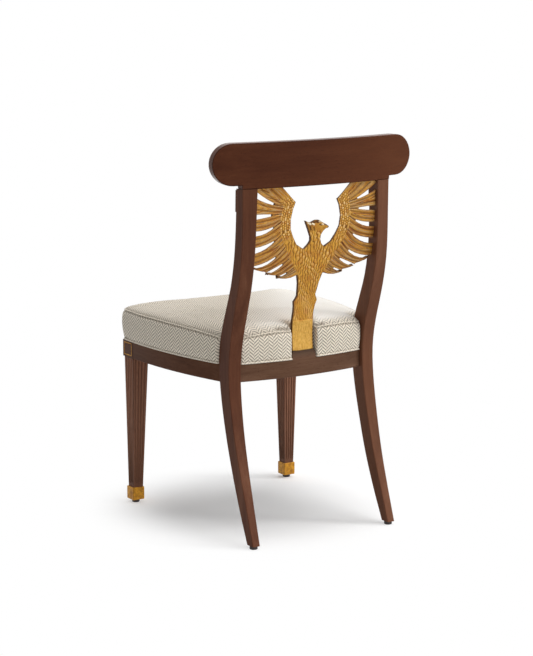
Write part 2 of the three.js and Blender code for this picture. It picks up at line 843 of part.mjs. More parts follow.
// Corner blocks: glued and screwed across each corner of the seat frame
const rearCornerX = postAt(railMiddle).inner;
const rearCornerY = postAt(railMiddle).front;
const corners = {
  front: { x: blockInnerX, y: blockBackY, back: -1, leg: cornerBlockLeg },
  rear: { x: rearCornerX, y: rearCornerY, back: 1, leg: rearBlockLeg },
};

function cornerOutline(side, corner) {
  const outX = corner.x + cornerBlockReach;
  const outY = corner.y + corner.back * cornerBlockReach;
  const nearX = corner.x - corner.leg / 2;
  const nearY = corner.y - corner.back * corner.leg / 2;
  const outline = [[outX, outY], [outX, nearY], [corner.x, nearY], [nearX, corner.y], [nearX, outY]];
  return outline.map(([x, y]) => [side * x, y]);
}

function cornerDirection(side, corner) {
  return new THREE.Vector3(side, corner.back, 0).normalize();
}

function legScrewHead(side, corner) {
  const x = side * (corner.x - corner.leg / 4);
  const y = corner.y - corner.back * corner.leg / 4;
  return new THREE.Vector3(x, y, railMiddle).addScaledVector(cornerDirection(side, corner), fitGap);
}

function seatScrewHead(side, corner) {
  const bottom = railMiddle - cornerBlockHeight / 2;
  const reach = side * (corner.x - corner.leg / 2 + 2 * screwHeadRadius);
  return new THREE.Vector3(reach, corner.y + corner.back * screwHeadRadius, bottom + fitGap);
}

// Cushion outline in plan at a height, moved outwards by proud and clear of the rear legs and the splat
function seatOutline(z, proud, clear) {
  const post = postAt(z);
  const half = [];
  const frontY = blockFrontY - proud;
  const cornerX = sideRailOuter(blockFrontY + cushionCornerRadius) + railReveal + proud;
  const radius = cushionCornerRadius;
  for (let i = 0; i < frontSteps; i += 1) {
    half.push([(cornerX - radius) * i / frontSteps, frontY]);
  }
  for (let i = 0; i < cornerSteps; i += 1) {
    const angle = Math.PI / 2 * i / cornerSteps;
    half.push([cornerX - radius + radius * Math.sin(angle), frontY + radius - radius * Math.cos(angle)]);
  }
  const legFront = post.front - clear;
  const startY = frontY + radius;
  for (let i = 0; i <= sideSteps; i += 1) {
    const y = startY + (legFront - startY) * i / sideSteps;
    half.push([sideRailOuter(Math.max(y, blockFrontY + radius)) + railReveal + proud, y]);
  }
  const legInner = post.inner - clear;
  const backAt = (x) => rearRailBack(x) + proud;
  for (let i = 1; i <= notchSteps; i += 1) {
    half.push([half.at(-1)[0] + (legInner - half.at(-1)[0]) * i / notchSteps, legFront]);
  }
  for (let i = 1; i < notchSteps; i += 1) {
    half.push([legInner, legFront + (backAt(legInner) - legFront) * i / notchSteps]);
  }
  const notchX = seatNotchHalf + clear - legClearance;
  for (let i = 0; i <= backSteps; i += 1) {
    const x = legInner + (notchX - legInner) * i / backSteps;
    half.push([x, backAt(x)]);
  }
  const splatFront = rearRailBack(0) - railThickness - splatClearance - clear;
  half.push([notchX, splatFront]);
  half.push([notchX / 2, splatFront]);
  half.push([0, splatFront]);
  const otherHalf = half.slice(1, -1).reverse().map(mirrored);
  return [...half, ...otherHalf];
}

function seatRing(z, proud, clear) {
  return seatOutline(z, proud, clear).map(([x, y]) => new THREE.Vector3(x, y, z));
}

// Crown rings: the outline drawn in towards an inner line while the panel rises
const crownCentreY = (blockFrontY + rearCornerY) / 2;
const crownShares = [
  [0.03, 0.2],
  [0.1, 0.42],
  [0.25, 0.66],
  [0.5, 0.87],
  [0.85, 1],
];
const innerCrownShares = [
  [0.18, 0.5],
  [0.6, 0.9],
];
// Boxing: how far it stands out, as a share of its bulge, at shares of its height
const boxingShares = [
  [0, 0],
  [0.2, 0.4],
  [0.5, 1],
  [0.82, 0.85],
  [0.96, 0.45],
  [1, 0.1],
];
const innerBoxingShares = [
  [0, 0],
  [0.5, 1],
  [1, 0],
];

function crownRing(seamZ, crownZ, proud, clear, [inShare, upShare]) {
  const z = seamZ + (crownZ - seamZ) * upShare;
  return seatOutline(seamZ, proud, clear).map(([x, y]) => {
    const core = new THREE.Vector2(x, y - crownCentreY).setLength(crownCoreRadius);
    return new THREE.Vector3(x + (core.x - x) * inShare, y + (crownCentreY + core.y - y) * inShare, z);
  });
}

// One skin of the cushion from its hem to the crown, drawn in by inset
function cushionRings(bottom, inset, boxing, crown) {
  const seam = cushionSeamHeight - inset;
  const clear = legClearance + inset;
  const sideRings = boxing.map(([up, out]) => seatRing(
    bottom + (seam - bottom) * up, cushionProud + (cushionBulge - cushionProud) * out - inset, clear));
  const crownRings = crown.map((shares) => crownRing(
    seam, cushionCrown - inset, cushionProud - inset, clear, shares));
  return [...sideRings, ...crownRings];
}

function seatCover() {
  const hem = railTop + 2 * weltRadius + 2 * fitGap;
  const outside = cushionRings(hem, 0, boxingShares, crownShares).reverse();
  const inside = cushionRings(hem, coverThickness, innerBoxingShares, innerCrownShares);
  return loft([...outside, ...inside]);
}

function seatFoam() {
  const bottom = railTop + fitGap + boardThickness + fitGap;
  return loft(cushionRings(bottom, coverThickness + waddingThickness, innerBoxingShares, innerCrownShares));
}

function seatWelt() {
  const centreZ = railTop + fitGap + weltRadius;
  const rings = [];
  for (let i = 0; i < weltSides; i += 1) {
    const angle = 2 * Math.PI * i / weltSides;
    const out = weltRadius * Math.cos(angle);
    const up = weltRadius * Math.sin(angle);
    rings.push(seatOutline(centreZ, cushionProud + out - weltRadius / 2, legClearance + weltRadius - out)
      .map(([x, y]) => new THREE.Vector3(x, y, centreZ + up)));
  }
  return ringTube(rings);
}

// A closed tube whose long lines are the rings
function ringTube(rings) {
  const count = rings[0].length;
  const points = rings.flat();
  const faces = [];
  for (let line = 0; line < rings.length; line += 1) {
    const next = (line + 1) % rings.length;
    for (let i = 0; i < count; i += 1) {
      const j = (i + 1) % count;
      faces.push([line * count + i, line * count + j, next * count + j]);
      faces.push([line * count + i, next * count + j, next * count + i]);
    }
  }
  return closedGeometry(points, faces);
}

function seatBoard() {
  const low = railTop + fitGap;
  const clear = legClearance + 2 * weltRadius + 2 * fitGap;
  return solidOf(prismAlongZ(seatOutline(low, -boardInset, clear), low, low + boardThickness));
}

function dustCover() {
  const halfFront = sideRailFrontX - railThickness - dustCoverInset;
  const halfRear = sideRailRearX - railThickness - dustCoverInset;
  const front = blockFrontY + railThickness + dustCoverInset;
  const rear = rearCornerY;
  const outline = [
    [halfFront - dustCoverCorner, front], [halfFront, front + dustCoverCorner],
    [halfRear, rear - dustCoverCorner], [halfRear - dustCoverCorner, rear],
  ];
  const whole = [...outline, ...outline.map(mirrored).reverse()];
  return prismAlongZ(whole, railTop - dustCoverThickness, railTop);
}

// Assembly
const sides = [['left', 1], ['right', -1]];
const steps = [['upper', 1], ['lower', -1]];
let rearRail = rearRailBlank(0).add(shoeBlank());
let frontRail = frontRailBlank(0);
let board = seatBoard();

for (const [sideName, side] of sides) {
  const legX = side * (postAt(glideHeight).outer + postAt(glideHeight).inner) / 2;
  const legY = (postAt(glideHeight).back + postAt(glideHeight).front) / 2;
  const grownPost = postSolid(side, fitGap);
  let rearLeg = postSolid(side, 0).add(solidOf(tenonCorners(side, 0, 0)))
    .subtract(glideHole(legX, legY));
  const foot = legCentre(side, glideHeight);
  let frontLeg = frontLegBlank(side).subtract(glideHole(foot.x, foot.y));
  let sideRail = sideRailBlank(side, 0).subtract(grownPost);
  rearRail = rearRail.subtract(grownPost);

  for (const [stepName, step] of steps) {
    for (const joint of ['side_front', 'front', 'side_rear', 'rear']) {
      const hole = solidOf(dowelLine(side, joint, step, fitGap));
      if (joint.endsWith('front')) {
        frontLeg = frontLeg.subtract(hole);
      } else {
        rearLeg = rearLeg.subtract(hole);
      }
      if (joint.startsWith('side')) {
        sideRail = sideRail.subtract(hole);
      } else if (joint === 'front') {
        frontRail = frontRail.subtract(hole);
      } else {
        rearRail = rearRail.subtract(hole);
      }
      addPiece(`dowel_${joint}_${sideName}_${stepName}`, dowelLine(side, joint, step, 0), secondaryWood);
    }
  }

  for (const [cornerName, corner] of Object.entries(corners)) {
    const low = railMiddle - cornerBlockHeight / 2;
    let block = solidOf(prismAlongZ(cornerOutline(side, corner), low, low + cornerBlockHeight));
    block = block.subtract(sideRailBlank(side, fitGap));
    if (cornerName === 'front') {
      block = block.subtract(frontRailBlank(fitGap));
      block = block.subtract(solidOf(boxBetween(
        new THREE.Vector3(side * frontLegX - blockHalf - fitGap, blockFrontY - cutOverrun, railBottom),
        new THREE.Vector3(side * frontLegX + blockHalf + fitGap, blockBackY + fitGap, railTop))));
    } else {
      block = block.subtract(rearRailBlank(fitGap)).subtract(grownPost);
    }
    const largest = block.decompose().sort((a, b) => b.volume() - a.volume())[0];
    const direction = cornerDirection(side, corner);
    const legScrew = legScrewHead(side, corner);
    const legHole = screwHole(legScrew, direction, legScrewLength);
    const up = new THREE.Vector3(0, 0, 1);
    const seatScrew = seatScrewHead(side, corner);
    const seatHole = screwHole(seatScrew, up, seatScrewLength + fitGap);
    const drilled = largest.subtract(legHole).subtract(seatHole);
    addPiece(`corner_block_${cornerName}_${sideName}`, drilled, secondaryWood);
    addPiece(`leg_screw_${cornerName}_${sideName}`, screw(legScrew, direction, legScrewLength), steel);
    addPiece(`seat_screw_${cornerName}_${sideName}`, screw(seatScrew, up, seatScrewLength), steel);
    board = board.subtract(seatHole);
    if (cornerName === 'front') {
      frontLeg = frontLeg.subtract(legHole);
    } else {
      rearLeg = rearLeg.subtract(legHole);
    }
  }

  for (const axis of ['outer', 'front']) {
    frontLeg = frontLeg.subtract(stringFrame(side, axis, fitGap));
    addPiece(`gilt_string_${axis}_${sideName}`, stringFrame(side, axis, 0), giltMetal);
  }
  addPiece(`rear_leg_${sideName}`, rearLeg, mahogany);
  addPiece(`front_leg_${sideName}`, frontLeg, mahogany);
  addPiece(`side_rail_${sideName}`, sideRail, mahogany);
  addPiece(`foot_cap_${sideName}`, footCap(side), giltMetal);
  addPiece(`rear_glide_${sideName}`, glide(legX, legY), glideNylon);
  addPiece(`front_glide_${sideName}`, glide(foot.x, foot.y), glideNylon);
}

addPiece('rear_rail', rearRail.subtract(solidOf(splatTenon(fitGap))), mahogany);
addPiece('front_rail', frontRail, mahogany);
addPiece('crest_rail', crestSolid(), mahogany);
addPiece('splat', splatSolid(), giltWood);
addPiece('seat_board', board, secondaryWood);
addPiece('seat_foam', seatFoam(), foam);
addPiece('seat_cover', seatCover(), herringbone);
addPiece('seat_welt', seatWelt(), herringbone);
addPiece('dust_cover', dustCover(), cambric);

// The origin is on the floor, under the middle of the chair's box
const bounds = new THREE.Box3().setFromObject(chair);
chair.position.y = -(bounds.min.y + bounds.max.y) / 2;

export default chair;
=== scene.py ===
import math

import bmesh
import bpy
import numpy as np
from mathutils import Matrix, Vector
from mathutils.bvhtree import BVHTree


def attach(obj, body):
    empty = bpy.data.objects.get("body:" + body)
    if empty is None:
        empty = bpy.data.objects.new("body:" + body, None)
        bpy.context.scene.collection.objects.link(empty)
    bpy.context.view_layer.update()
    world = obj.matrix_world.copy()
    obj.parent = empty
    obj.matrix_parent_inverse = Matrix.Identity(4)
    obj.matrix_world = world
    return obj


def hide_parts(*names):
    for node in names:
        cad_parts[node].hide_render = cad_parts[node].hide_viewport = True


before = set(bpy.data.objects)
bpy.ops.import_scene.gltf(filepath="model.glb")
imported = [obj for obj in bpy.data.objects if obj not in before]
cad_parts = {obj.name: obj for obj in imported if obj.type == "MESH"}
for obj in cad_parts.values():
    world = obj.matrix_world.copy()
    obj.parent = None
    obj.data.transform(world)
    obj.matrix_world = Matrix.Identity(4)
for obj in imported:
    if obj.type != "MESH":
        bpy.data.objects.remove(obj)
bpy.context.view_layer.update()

# ---------------------------------------------------------------------------------------------
# Rear legs: two boards of mahogany, sawn to a sweep from the floor to the crest rail and tenoned
# into it. Every edge is eased by hand, and the wood is stained dark and rubbed to a satin lacquer.
leg_ease = 0.0010
weld = 2e-6
flat_angle = 0.4
sharp_angle = 24
red_stain = ((0.076, 0.0252, 0.0136, 1), (0.128, 0.0465, 0.0242, 1), (0.190, 0.0790, 0.0425, 1))
stain_places = (0.18, 0.5, 0.86)
pore_colour = (0.022, 0.0056, 0.0030, 1)
pore_share = 0.55
# Eased edges go paler: a little for rubbing, and a painted highlight on the edges that face the
# back and the left
rubbed_and_highlit_edge = (0.42, 0.235, 0.145, 1)
painted_edge_side = Vector((0.60, 0.80, 0))
pale_red = (0.250, 0.1120, 0.0600, 1)
deep_share = 0.85
# Edge mask: the least on any eased edge, and how much more goes to edges that face the back and the
# left, for the painted highlight
edge_least, edge_more = 0.3, 0.9
leg_paleness = {"left": 0.05, "right": 0.34}
satin = (0.46, 0.36)
# The lacquer gains on slanting faces and fades where they are only grazed: facing, then coat
coat_gain = (0.72, 0.86, 0.03, 0.68)
coat_fade = (0.86, 0.96, 1, 0.22)
coat_roughness = 0.2
lacquer_shine = 0.05
# Noise of the grain: scale, detail and distortion of its broad tone, its streaks and its pores
broad_grain, fine_grain, pore_grain = (26, 3, 0.6), (230, 4, 0.3), (1250, 1)
broad_tone, fine_share = (0.2, 0.8, -0.05, 0.6), 0.45
pore_edge = (0.62, 0.76)
grain_relief = (0.12, 0.0002)


class Shading:
    """A node tree in the making. Every input takes a value or another node's socket."""

    def __init__(self, tree):
        self.nodes, self.links = tree.nodes, tree.links

    def put(self, socket, value):
        if isinstance(value, bpy.types.NodeSocket):
            self.links.new(value, socket)
        elif value is not None:
            socket.default_value = value

    def feed(self, node, **inputs):
        """Fills inputs of a node by name, with _ for a space."""
        for name, value in inputs.items():
            self.put(node.inputs[name.replace("_", " ")], value)

    def node(self, kind, *inputs, **settings):
        """A new node with its settings. Its inputs are filled in order."""
        node = self.nodes.new("ShaderNode" + kind)
        for name, value in settings.items():
            setattr(node, name, value)
        for socket, value in zip(node.inputs, inputs):
            self.put(socket, value)
        return node

    def calc(self, operation, *inputs):
        return self.node("Math", *inputs, operation=operation).outputs[0]

    def ranged(self, value, low, high, to_low=0.0, to_high=1.0):
        """A value's range from low to high, spread over another range."""
        return self.node("MapRange", value, low, high, to_low, to_high).outputs[0]

    def mixed(self, share, first, second):
        """A colour that goes from first to second as share goes from 0 to 1."""
        mix = self.node("Mix", share, data_type="RGBA")
        self.put(mix.inputs[6], first)
        self.put(mix.inputs[7], second)
        return mix.outputs[2]

    def mask(self, name):
        return self.node("Attribute", attribute_name=name).outputs["Fac"]

    def toned(self, tone, value, most, colour, low=0, high=1):
        """A tone led towards a colour, by up to most, as a value or mask goes from low to high."""
        if isinstance(value, str):
            value = self.mask(value)
        return self.mixed(self.ranged(value, low, high, 0, most), tone, colour)

    def ramp(self, value, places, colours):
        """A colour that runs through colours as a value passes their places."""
        ramp = self.node("ValToRGB", value)
        elements = ramp.color_ramp.elements
        for at in (0, -1):
            elements[at].position, elements[at].color = places[at], colours[at]
        for place, colour in zip(places[1:-1], colours[1:-1]):
            elements.new(place).color = colour
        return ramp.outputs["Color"]

    def noise(self, place, scale, detail=2.0, distortion=0.0):
        """Soft noise at a place, from 0 to 1."""
        noise = self.node("TexNoise")
        self.feed(noise, Vector=place, Scale=scale, Detail=detail, Distortion=distortion)
        return noise.outputs["Fac"]

    def stretched(self, stretch=(1, 1, 1)):
        """The object's own place, drawn out along the grain."""
        place = self.node("TexCoord").outputs["Object"]
        return self.node("Mapping", place, None, None, stretch).outputs["Vector"]

    def effect(self, group, place):
        """The outputs of a shared effect at a place."""
        return self.node("Group", place, node_tree=group).outputs

    def bumped(self, skin, height, strength, distance):
        """Relief from a height, on the shader's normal."""
        bump = self.node("Bump")
        self.feed(bump, Strength=strength, Distance=distance, Height=height)
        self.feed(skin, Normal=bump.outputs["Normal"])


def new_material(name):
    """A material, its shading and the shader that makes its surface."""
    material = bpy.data.materials.new(name)
    material.use_nodes = True
    return material, Shading(material.node_tree), material.node_tree.nodes["Principled BSDF"]


def new_effect(name, *outputs):
    """A node group with a place going in and values coming out, to be filled."""
    group = bpy.data.node_groups.new(name, "ShaderNodeTree")
    group.interface.new_socket("Place", in_out="INPUT", socket_type="NodeSocketVector")
    for output in outputs:
        group.interface.new_socket(output, in_out="OUTPUT", socket_type="NodeSocketFloat")
    place = group.nodes.new("NodeGroupInput").outputs["Place"]
    return group, Shading(group), place, group.nodes.new("NodeGroupOutput")


def grain_effect():
    """Wood grain at a place already drawn out along it: broad tone, fine streaks and open pores."""
    group, shading, place, out = new_effect("Wood grain", "Tone", "Pores", "Relief")
    broad = shading.ranged(shading.noise(place, *broad_grain), *broad_tone)
    fine = shading.noise(place, *fine_grain)
    tone = shading.calc("MULTIPLY_ADD", fine, fine_share, broad)
    pores = shading.ranged(shading.noise(place, *pore_grain), *pore_edge)
    shading.feed(out, Tone=tone, Pores=pores, Relief=shading.ranged(pores, 0, 1, 1, 0))
    return group


wood_grain = grain_effect()


def mahogany(name, stretch, stain, edge_colour=rubbed_and_highlit_edge, edge_share=0.45, deep_colour=None):
    """Stained mahogany under satin lacquer, its grain drawn out by stretch.

    Eased edges go towards edge_colour, and the places marked deep towards deep_colour."""
    material, shading, skin = new_material(name)
    grain = shading.effect(wood_grain, shading.stretched(stretch))
    wood = shading.ramp(grain["Tone"], stain_places, stain)
    wood = shading.toned(wood, grain["Pores"], pore_share, pore_colour)
    wood = shading.toned(wood, "edge", edge_share, edge_colour)
    if deep_colour:
        wood = shading.toned(wood, "deep", deep_share, deep_colour)
    facing = shading.node("LayerWeight").outputs["Facing"]
    coat = shading.calc("MULTIPLY", shading.ranged(facing, *coat_gain),
                        shading.ranged(facing, *coat_fade))
    shading.feed(skin, Base_Color=wood, Roughness=shading.ranged(grain["Tone"], 0, 1, *satin),
                 Specular_IOR_Level=lacquer_shine, Coat_Weight=coat,
                 Coat_Roughness=coat_roughness)
    shading.bumped(skin, grain["Relief"], *grain_relief)
    return material


def linked(name, data):
    """An object with its data, in the scene."""
    thing = bpy.data.objects.new(name, data)
    bpy.context.scene.collection.objects.link(thing)
    return thing


def finished(name, mesh, material, sharp=38):
    """A smooth-shaded piece on the chair's one body, with its material and its finish."""
    mesh.polygons.foreach_set("use_smooth", [True] * len(mesh.polygons))
    mesh.set_sharp_from_angle(angle=math.radians(sharp))
    mesh.materials.clear()
    mesh.materials.append(material)
    piece = linked(name, mesh)
    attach(piece, "root")
    return piece


def eased(node, ease, material):
    """The piece as it leaves the bench: the CAD solid with each sharp edge eased round.

    Edges are marked a little everywhere, for rubbing, and most where they face the back and the
    left; on the legs and rails this paints a highlight there."""
    shape = bmesh.new()
    shape.from_mesh(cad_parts[node].data)
    bmesh.ops.remove_doubles(shape, verts=shape.verts, dist=weld)
    bmesh.ops.dissolve_limit(shape, angle_limit=math.radians(flat_angle), verts=shape.verts,
                             edges=shape.edges)
    sharp = [edge for edge in shape.edges
             if len(edge.link_faces) == 2 and edge.calc_face_angle() > math.radians(sharp_angle)]
    edge = shape.faces.layers.float.new("edge")
    rounded = bmesh.ops.bevel(shape, geom=sharp, offset=ease, offset_type="OFFSET", segments=2,
                              profile=0.5, affect="EDGES", clamp_overlap=True)
    shape.normal_update()
    # A little on every eased edge, and a painted highlight most on edges that face the back and the
    # left
    for face in rounded["faces"]:
        face[edge] = edge_least + edge_more * max(0, face.normal.dot(painted_edge_side)) ** 3
    many_sided = [face for face in shape.faces if len(face.verts) > 4]
    bmesh.ops.triangulate(shape, faces=many_sided)
    mesh = bpy.data.meshes.new(node + "_eased")
    shape.to_mesh(mesh)
    shape.free()
    piece = finished(node + "_eased", mesh, material)
    piece.modifiers.new("Face normals", "WEIGHTED_NORMAL").keep_sharp = True
    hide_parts(node)
    return piece


def points_of(mesh):
    flat = np.zeros(len(mesh.vertices) * 3)
    mesh.vertices.foreach_get("co", flat)
    return flat.reshape(-1, 3)


def marked(piece, **masks):
    """Masks for the piece's material: a value at each point under each name."""
    for name, values in masks.items():
        attribute = piece.data.attributes.new(name, "FLOAT", "POINT")
        attribute.data.foreach_set("value", np.asarray(values, np.float32))


upright_mahogany = mahogany("Mahogany, upright grain", (1, 1, 0.045), red_stain, edge_share=0.6,
                            deep_colour=pale_red)
for side, paleness in leg_paleness.items():
    leg = eased("rear_leg_" + side, leg_ease, upright_mahogany)
    marked(leg, deep=np.full(len(leg.data.vertices), paleness))

# ---------------------------------------------------------------------------------------------
# Seat rails: two bowed side rails, a front rail and a curved rear rail with the shoe that the splat
# stands on. Each is mahogany, dowelled to the legs, and its grain runs along it.
rail_ease = 0.0008
brown_stain = ((0.102, 0.0485, 0.0275, 1), (0.157, 0.0800, 0.0475, 1), (0.220, 0.1210, 0.0745, 1))
# The side rails' stain is darker than the other rails': painted shade under the cushion's overhang
shaded_side_stain = ((0.068, 0.0250, 0.0115, 1), (0.106, 0.0420, 0.0205, 1), (0.148, 0.0660, 0.0345, 1))
# The shoe, above the rail's top, goes darker and greyer: painted shade under the splat and between
# the cushion's sides
shoe_shade_brown = (0.058, 0.0370, 0.0250, 1)
rail_top = 0.4062

depthwise_mahogany = mahogany("Mahogany, grain from front to back", (1, 0.045, 1), shaded_side_stain)
rail_mahogany = mahogany("Mahogany, grain from side to side", (0.045, 1, 1), brown_stain,
                         deep_colour=shoe_shade_brown)
for side in ("left", "right"):
    eased("side_rail_" + side, rail_ease, depthwise_mahogany)
for node in ("front_rail", "rear_rail"):
    rail = eased(node, rail_ease, rail_mahogany)
    marked(rail, deep=points_of(rail.data)[:, 2] > rail_top)

# ---------------------------------------------------------------------------------------------
# Crest rail: one curved tablet of mahogany with round ears, on the tenons of the rear legs. Its
# back is plain, and its colour turns redder and paler towards the right ear.
crest_ease = 0.0016
crest_stain = ((0.066, 0.0188, 0.0086, 1), (0.090, 0.0274, 0.0120, 1), (0.116, 0.0385, 0.0170, 1))
ear_red = (0.163, 0.0540, 0.0200, 1)
crest_half = 0.24
ear_start = 0.15
ear_share = 0.38

# The crest's eased edges are darkened towards the pores' colour, most those that face the back and
# the left
crest_mahogany = mahogany("Mahogany tablet, grain from side to side", (0.045, 1, 1), crest_stain,
                          edge_colour=pore_colour, edge_share=0.75, deep_colour=ear_red)
crest = eased("crest_rail", crest_ease, crest_mahogany)
to_ear = ear_start - points_of(crest.data)[:, 0] / crest_half
marked(crest, deep=ear_share * np.clip(to_ear, 0, 1))

# ---------------------------------------------------------------------------------------------
# Front legs: a square block above a square taper with four flutes on each face. The flutes run out
# under the block and above the foot cap.
flute_ease = 0.00035
flute_ends = (0.0536, 0.358)
block_bottom = 0.3645
# The front legs' stain is much paler than the rails' brown: painted light under the seat,
# offsetting the painted shade in the flutes
lit_flute_stain = ((0.208, 0.0860, 0.0500, 1), (0.325, 0.1470, 0.0895, 1), (0.440, 0.2180, 0.1410, 1))
painted_shade_brown = (0.038, 0.0180, 0.0105, 1)
# How much painted shade, in deep brown, lies in the flutes, how much less on the lit back, on the
# block under the seat, at the cap
flute_share, behind_share, block_share, cap_share = 0.76, 0.30, 0.9, 0.62
flute_power = 1.5
flute_margin = 0.001
cap_shadow = 0.004
fluted_mahogany = mahogany("Mahogany, upright brown grain", (1, 1, 0.045), lit_flute_stain,
                           edge_share=0.30, deep_colour=painted_shade_brown)


def fluted_leg(node):
    """A front leg. Painted shade lies deep in its flutes, on its block and just above its cap."""
    leg = eased(node, flute_ease, fluted_mahogany)
    place = points_of(leg.data)
    height = place[:, 2]
    low, high = flute_ends
    rings = [place[np.abs(height - end) < 0.0008][:, :2] for end in flute_ends]
    middles = [(ring.min(0) + ring.max(0)) / 2 for ring in rings]
    halves = [(ring.max(0) - ring.min(0)) / 2 for ring in rings]
    up = ((height - low) / (high - low))[:, None]
    middle = middles[0] + (middles[1] - middles[0]) * up
    half = halves[0] + (halves[1] - halves[0]) * up
    depth = (half - np.abs(place[:, :2] - middle)).min(1)
    fluted = (height > low - flute_margin) & (height < high + flute_margin)
    deepest = np.percentile(depth[fluted], 97)
    flutes = np.clip(depth / deepest, 0, 1) ** flute_power * fluted
    behind = place[:, 1] - middle[:, 1] > 0.55 * half[:, 1]
    above_cap = height < low + cap_shadow
    marked(leg, deep=(flute_share - behind_share * behind) * flutes
           + block_share * (height > block_bottom) + cap_share * above_cap * (1 - flutes))


for side in ("left", "right"):
    fluted_leg("front_leg_" + side)

# ---------------------------------------------------------------------------------------------
# Foot caps and strings: square caps of gilt brass on the front feet, and a fine gilt line let into
# two faces of each block. The gilding is antiqued, so brown shows in its rubs; its edges also go
# towards brown, most those that face the back and the left.
cap_ease = 0.0008
string_ease = 0.0001
gilt_bright = (0.80, 0.390, 0.030, 1)
gilt_deep = (0.42, 0.165, 0.015, 1)
bole_brown = (0.105, 0.038, 0.016, 1)
rub_share = 0.7
corner_share = 0.6
# Noise of the gilding: scale, detail and distortion of its cloudy tone, its rubs and its relief
gilt_cloud, gilt_rub, gilt_relief = (95, 4, 0.4), (310, 3, 0.8), (520, 3)


def gilding_effect():
    """Antiqued gilding at a place: cloudy tone, dark rubs and a fine hammered relief."""
    group, shading, place, out = new_effect("Antiqued gilding", "Cloud", "Rub", "Relief")
    cloud, rub, relief = (shading.noise(place, *noise)
                          for noise in (gilt_cloud, gilt_rub, gilt_relief))
    shading.feed(out, Cloud=shading.ranged(cloud, 0.3, 0.7), Rub=shading.ranged(rub, 0.56, 0.72),
                 Relief=relief)
    return group


antiqued_gilding = gilding_effect()


def gilt_metal():
    material, shading, skin = new_material("Antiqued gilt brass")
    gilding = shading.effect(antiqued_gilding, shading.stretched())
    gilt = shading.mixed(gilding["Cloud"], gilt_deep, gilt_bright)
    gilt = shading.toned(gilt, gilding["Rub"], rub_share, bole_brown)
    gilt = shading.toned(gilt, "edge", corner_share, bole_brown)
    shading.feed(skin, Base_Color=gilt, Roughness=shading.ranged(gilding["Cloud"], 0, 1, 0.5, 0.34),
                 Metallic=0.25, Specular_IOR_Level=0.25)
    shading.bumped(skin, gilding["Relief"], 0.25, 0.0004)
    return material


gilt_brass = gilt_metal()
for side in ("left", "right"):
    eased("foot_cap_" + side, cap_ease, gilt_brass)
    for face in ("outer", "front"):
        eased("gilt_string_%s_%s" % (face, side), string_ease, gilt_brass)

# ---------------------------------------------------------------------------------------------
# Glides: round nylon feet on driven stems, dark brown, one under each leg.
glide_ease = 0.0003
nylon_colour = (0.020, 0.0105, 0.0072, 1)
nylon_worn = (0.040, 0.0230, 0.0165, 1)


def glide_nylon():
    material, shading, skin = new_material("Dark brown nylon")
    scuffs = shading.noise(shading.stretched(), 420, 4)
    nylon = shading.mixed(shading.ranged(scuffs, 0.45, 0.8), nylon_colour, nylon_worn)
    shading.feed(skin, Base_Color=nylon, Roughness=shading.ranged(scuffs, 0, 1, 0.38, 0.62))
    shading.bumped(skin, scuffs, 0.15, 0.0003)
    return material


nylon = glide_nylon()
for place in ("front", "rear"):
    for side in ("left", "right"):
        eased("%s_glide_%s" % (place, side), glide_ease, nylon)

# ---------------------------------------------------------------------------------------------
# Splat: a bent board sawn to a bird with raised wings, carved on both faces and gilded over a
# red-brown bole. Feathers are gouged lengthwise, scales cover the body, and the foot is plain.
splat_voxel = 0.0011
board_thickness = 0.009
carving_round = 0.0014
shoe_top = 0.4244
opening_height = 0.3886
opening_half = 0.168
foot_reach = 0.2585
frame_shift = 0.006878
plinth_top = 0.4935
shoulder_height = 0.8122
shoulder_half = 0.147
# Back of the bent board: height above the shoe and place, as shares of the opening and the reach
sweep_shares = np.array([
    (0.0, 0.627), (0.1, 0.619), (0.2, 0.631), (0.3, 0.669), (0.4, 0.714), (0.5, 0.753),
    (0.6, 0.784), (0.7, 0.809), (0.8, 0.828), (0.9, 0.84), (1.0, 0.843),
])
# Slots between the feathers, as shares of the opening: root, end, bow, middle and mouth
slot_shares = [
    ((0.613, 0.894), (1.036, 0.988), -0.05, 0.105, 0.155),
    ((0.637, 0.841), (1.036, 0.835), 0, 0.11, 0.165),
    ((0.617, 0.779), (1.036, 0.74), -0.085, 0.11, 0.14),
    ((0.598, 0.697), (1.036, 0.637), -0.085, 0.122, 0.165),
    ((0.53, 0.611), (1.0, 0.542), -0.11, 0.072, 0.02),
    ((0.429, 0.553), (0.725, 0.495), -0.045, 0.115, 0.04),
    ((0.31, 0.505), (0.545, 0.463), -0.04, 0.065, 0.03),
]
top_feather_edge = ((0.50, 0.935), (0.93, 1.13), -0.03, 0, 0)
low_feather_edge = ((0.215, 0.487), (0.5, 0.452), -0.05, 0, 0)
# Inner edge of the wing, from the top to the throat beside the neck
wing_inner_shares = [
    (0.55, 1.0), (0.43, 0.947), (0.333, 0.906), (0.371, 0.866), (0.4, 0.806), (0.39, 0.748),
    (0.345, 0.703), (0.28, 0.656), (0.18, 0.628),
]
# Half width of the scaled body at shares of the opening's height
body_heights = (0, 0.42, 0.47, 0.52, 0.57, 0.62, 0.66)
body_halves = (0.05, 0.05, 0.036, 0.046, 0.060, 0.060, 0.048)
neck_height = 0.66
head_heights = (0.715, 0.735)
head_half = 0.045
# How much bole shows in the hollows of each kind of carving
bead_hollow, scale_hollow, root_hollow = 0.85, 1.05, 1.15
feather_hollow, valley_hollow = 0.24, 0.56
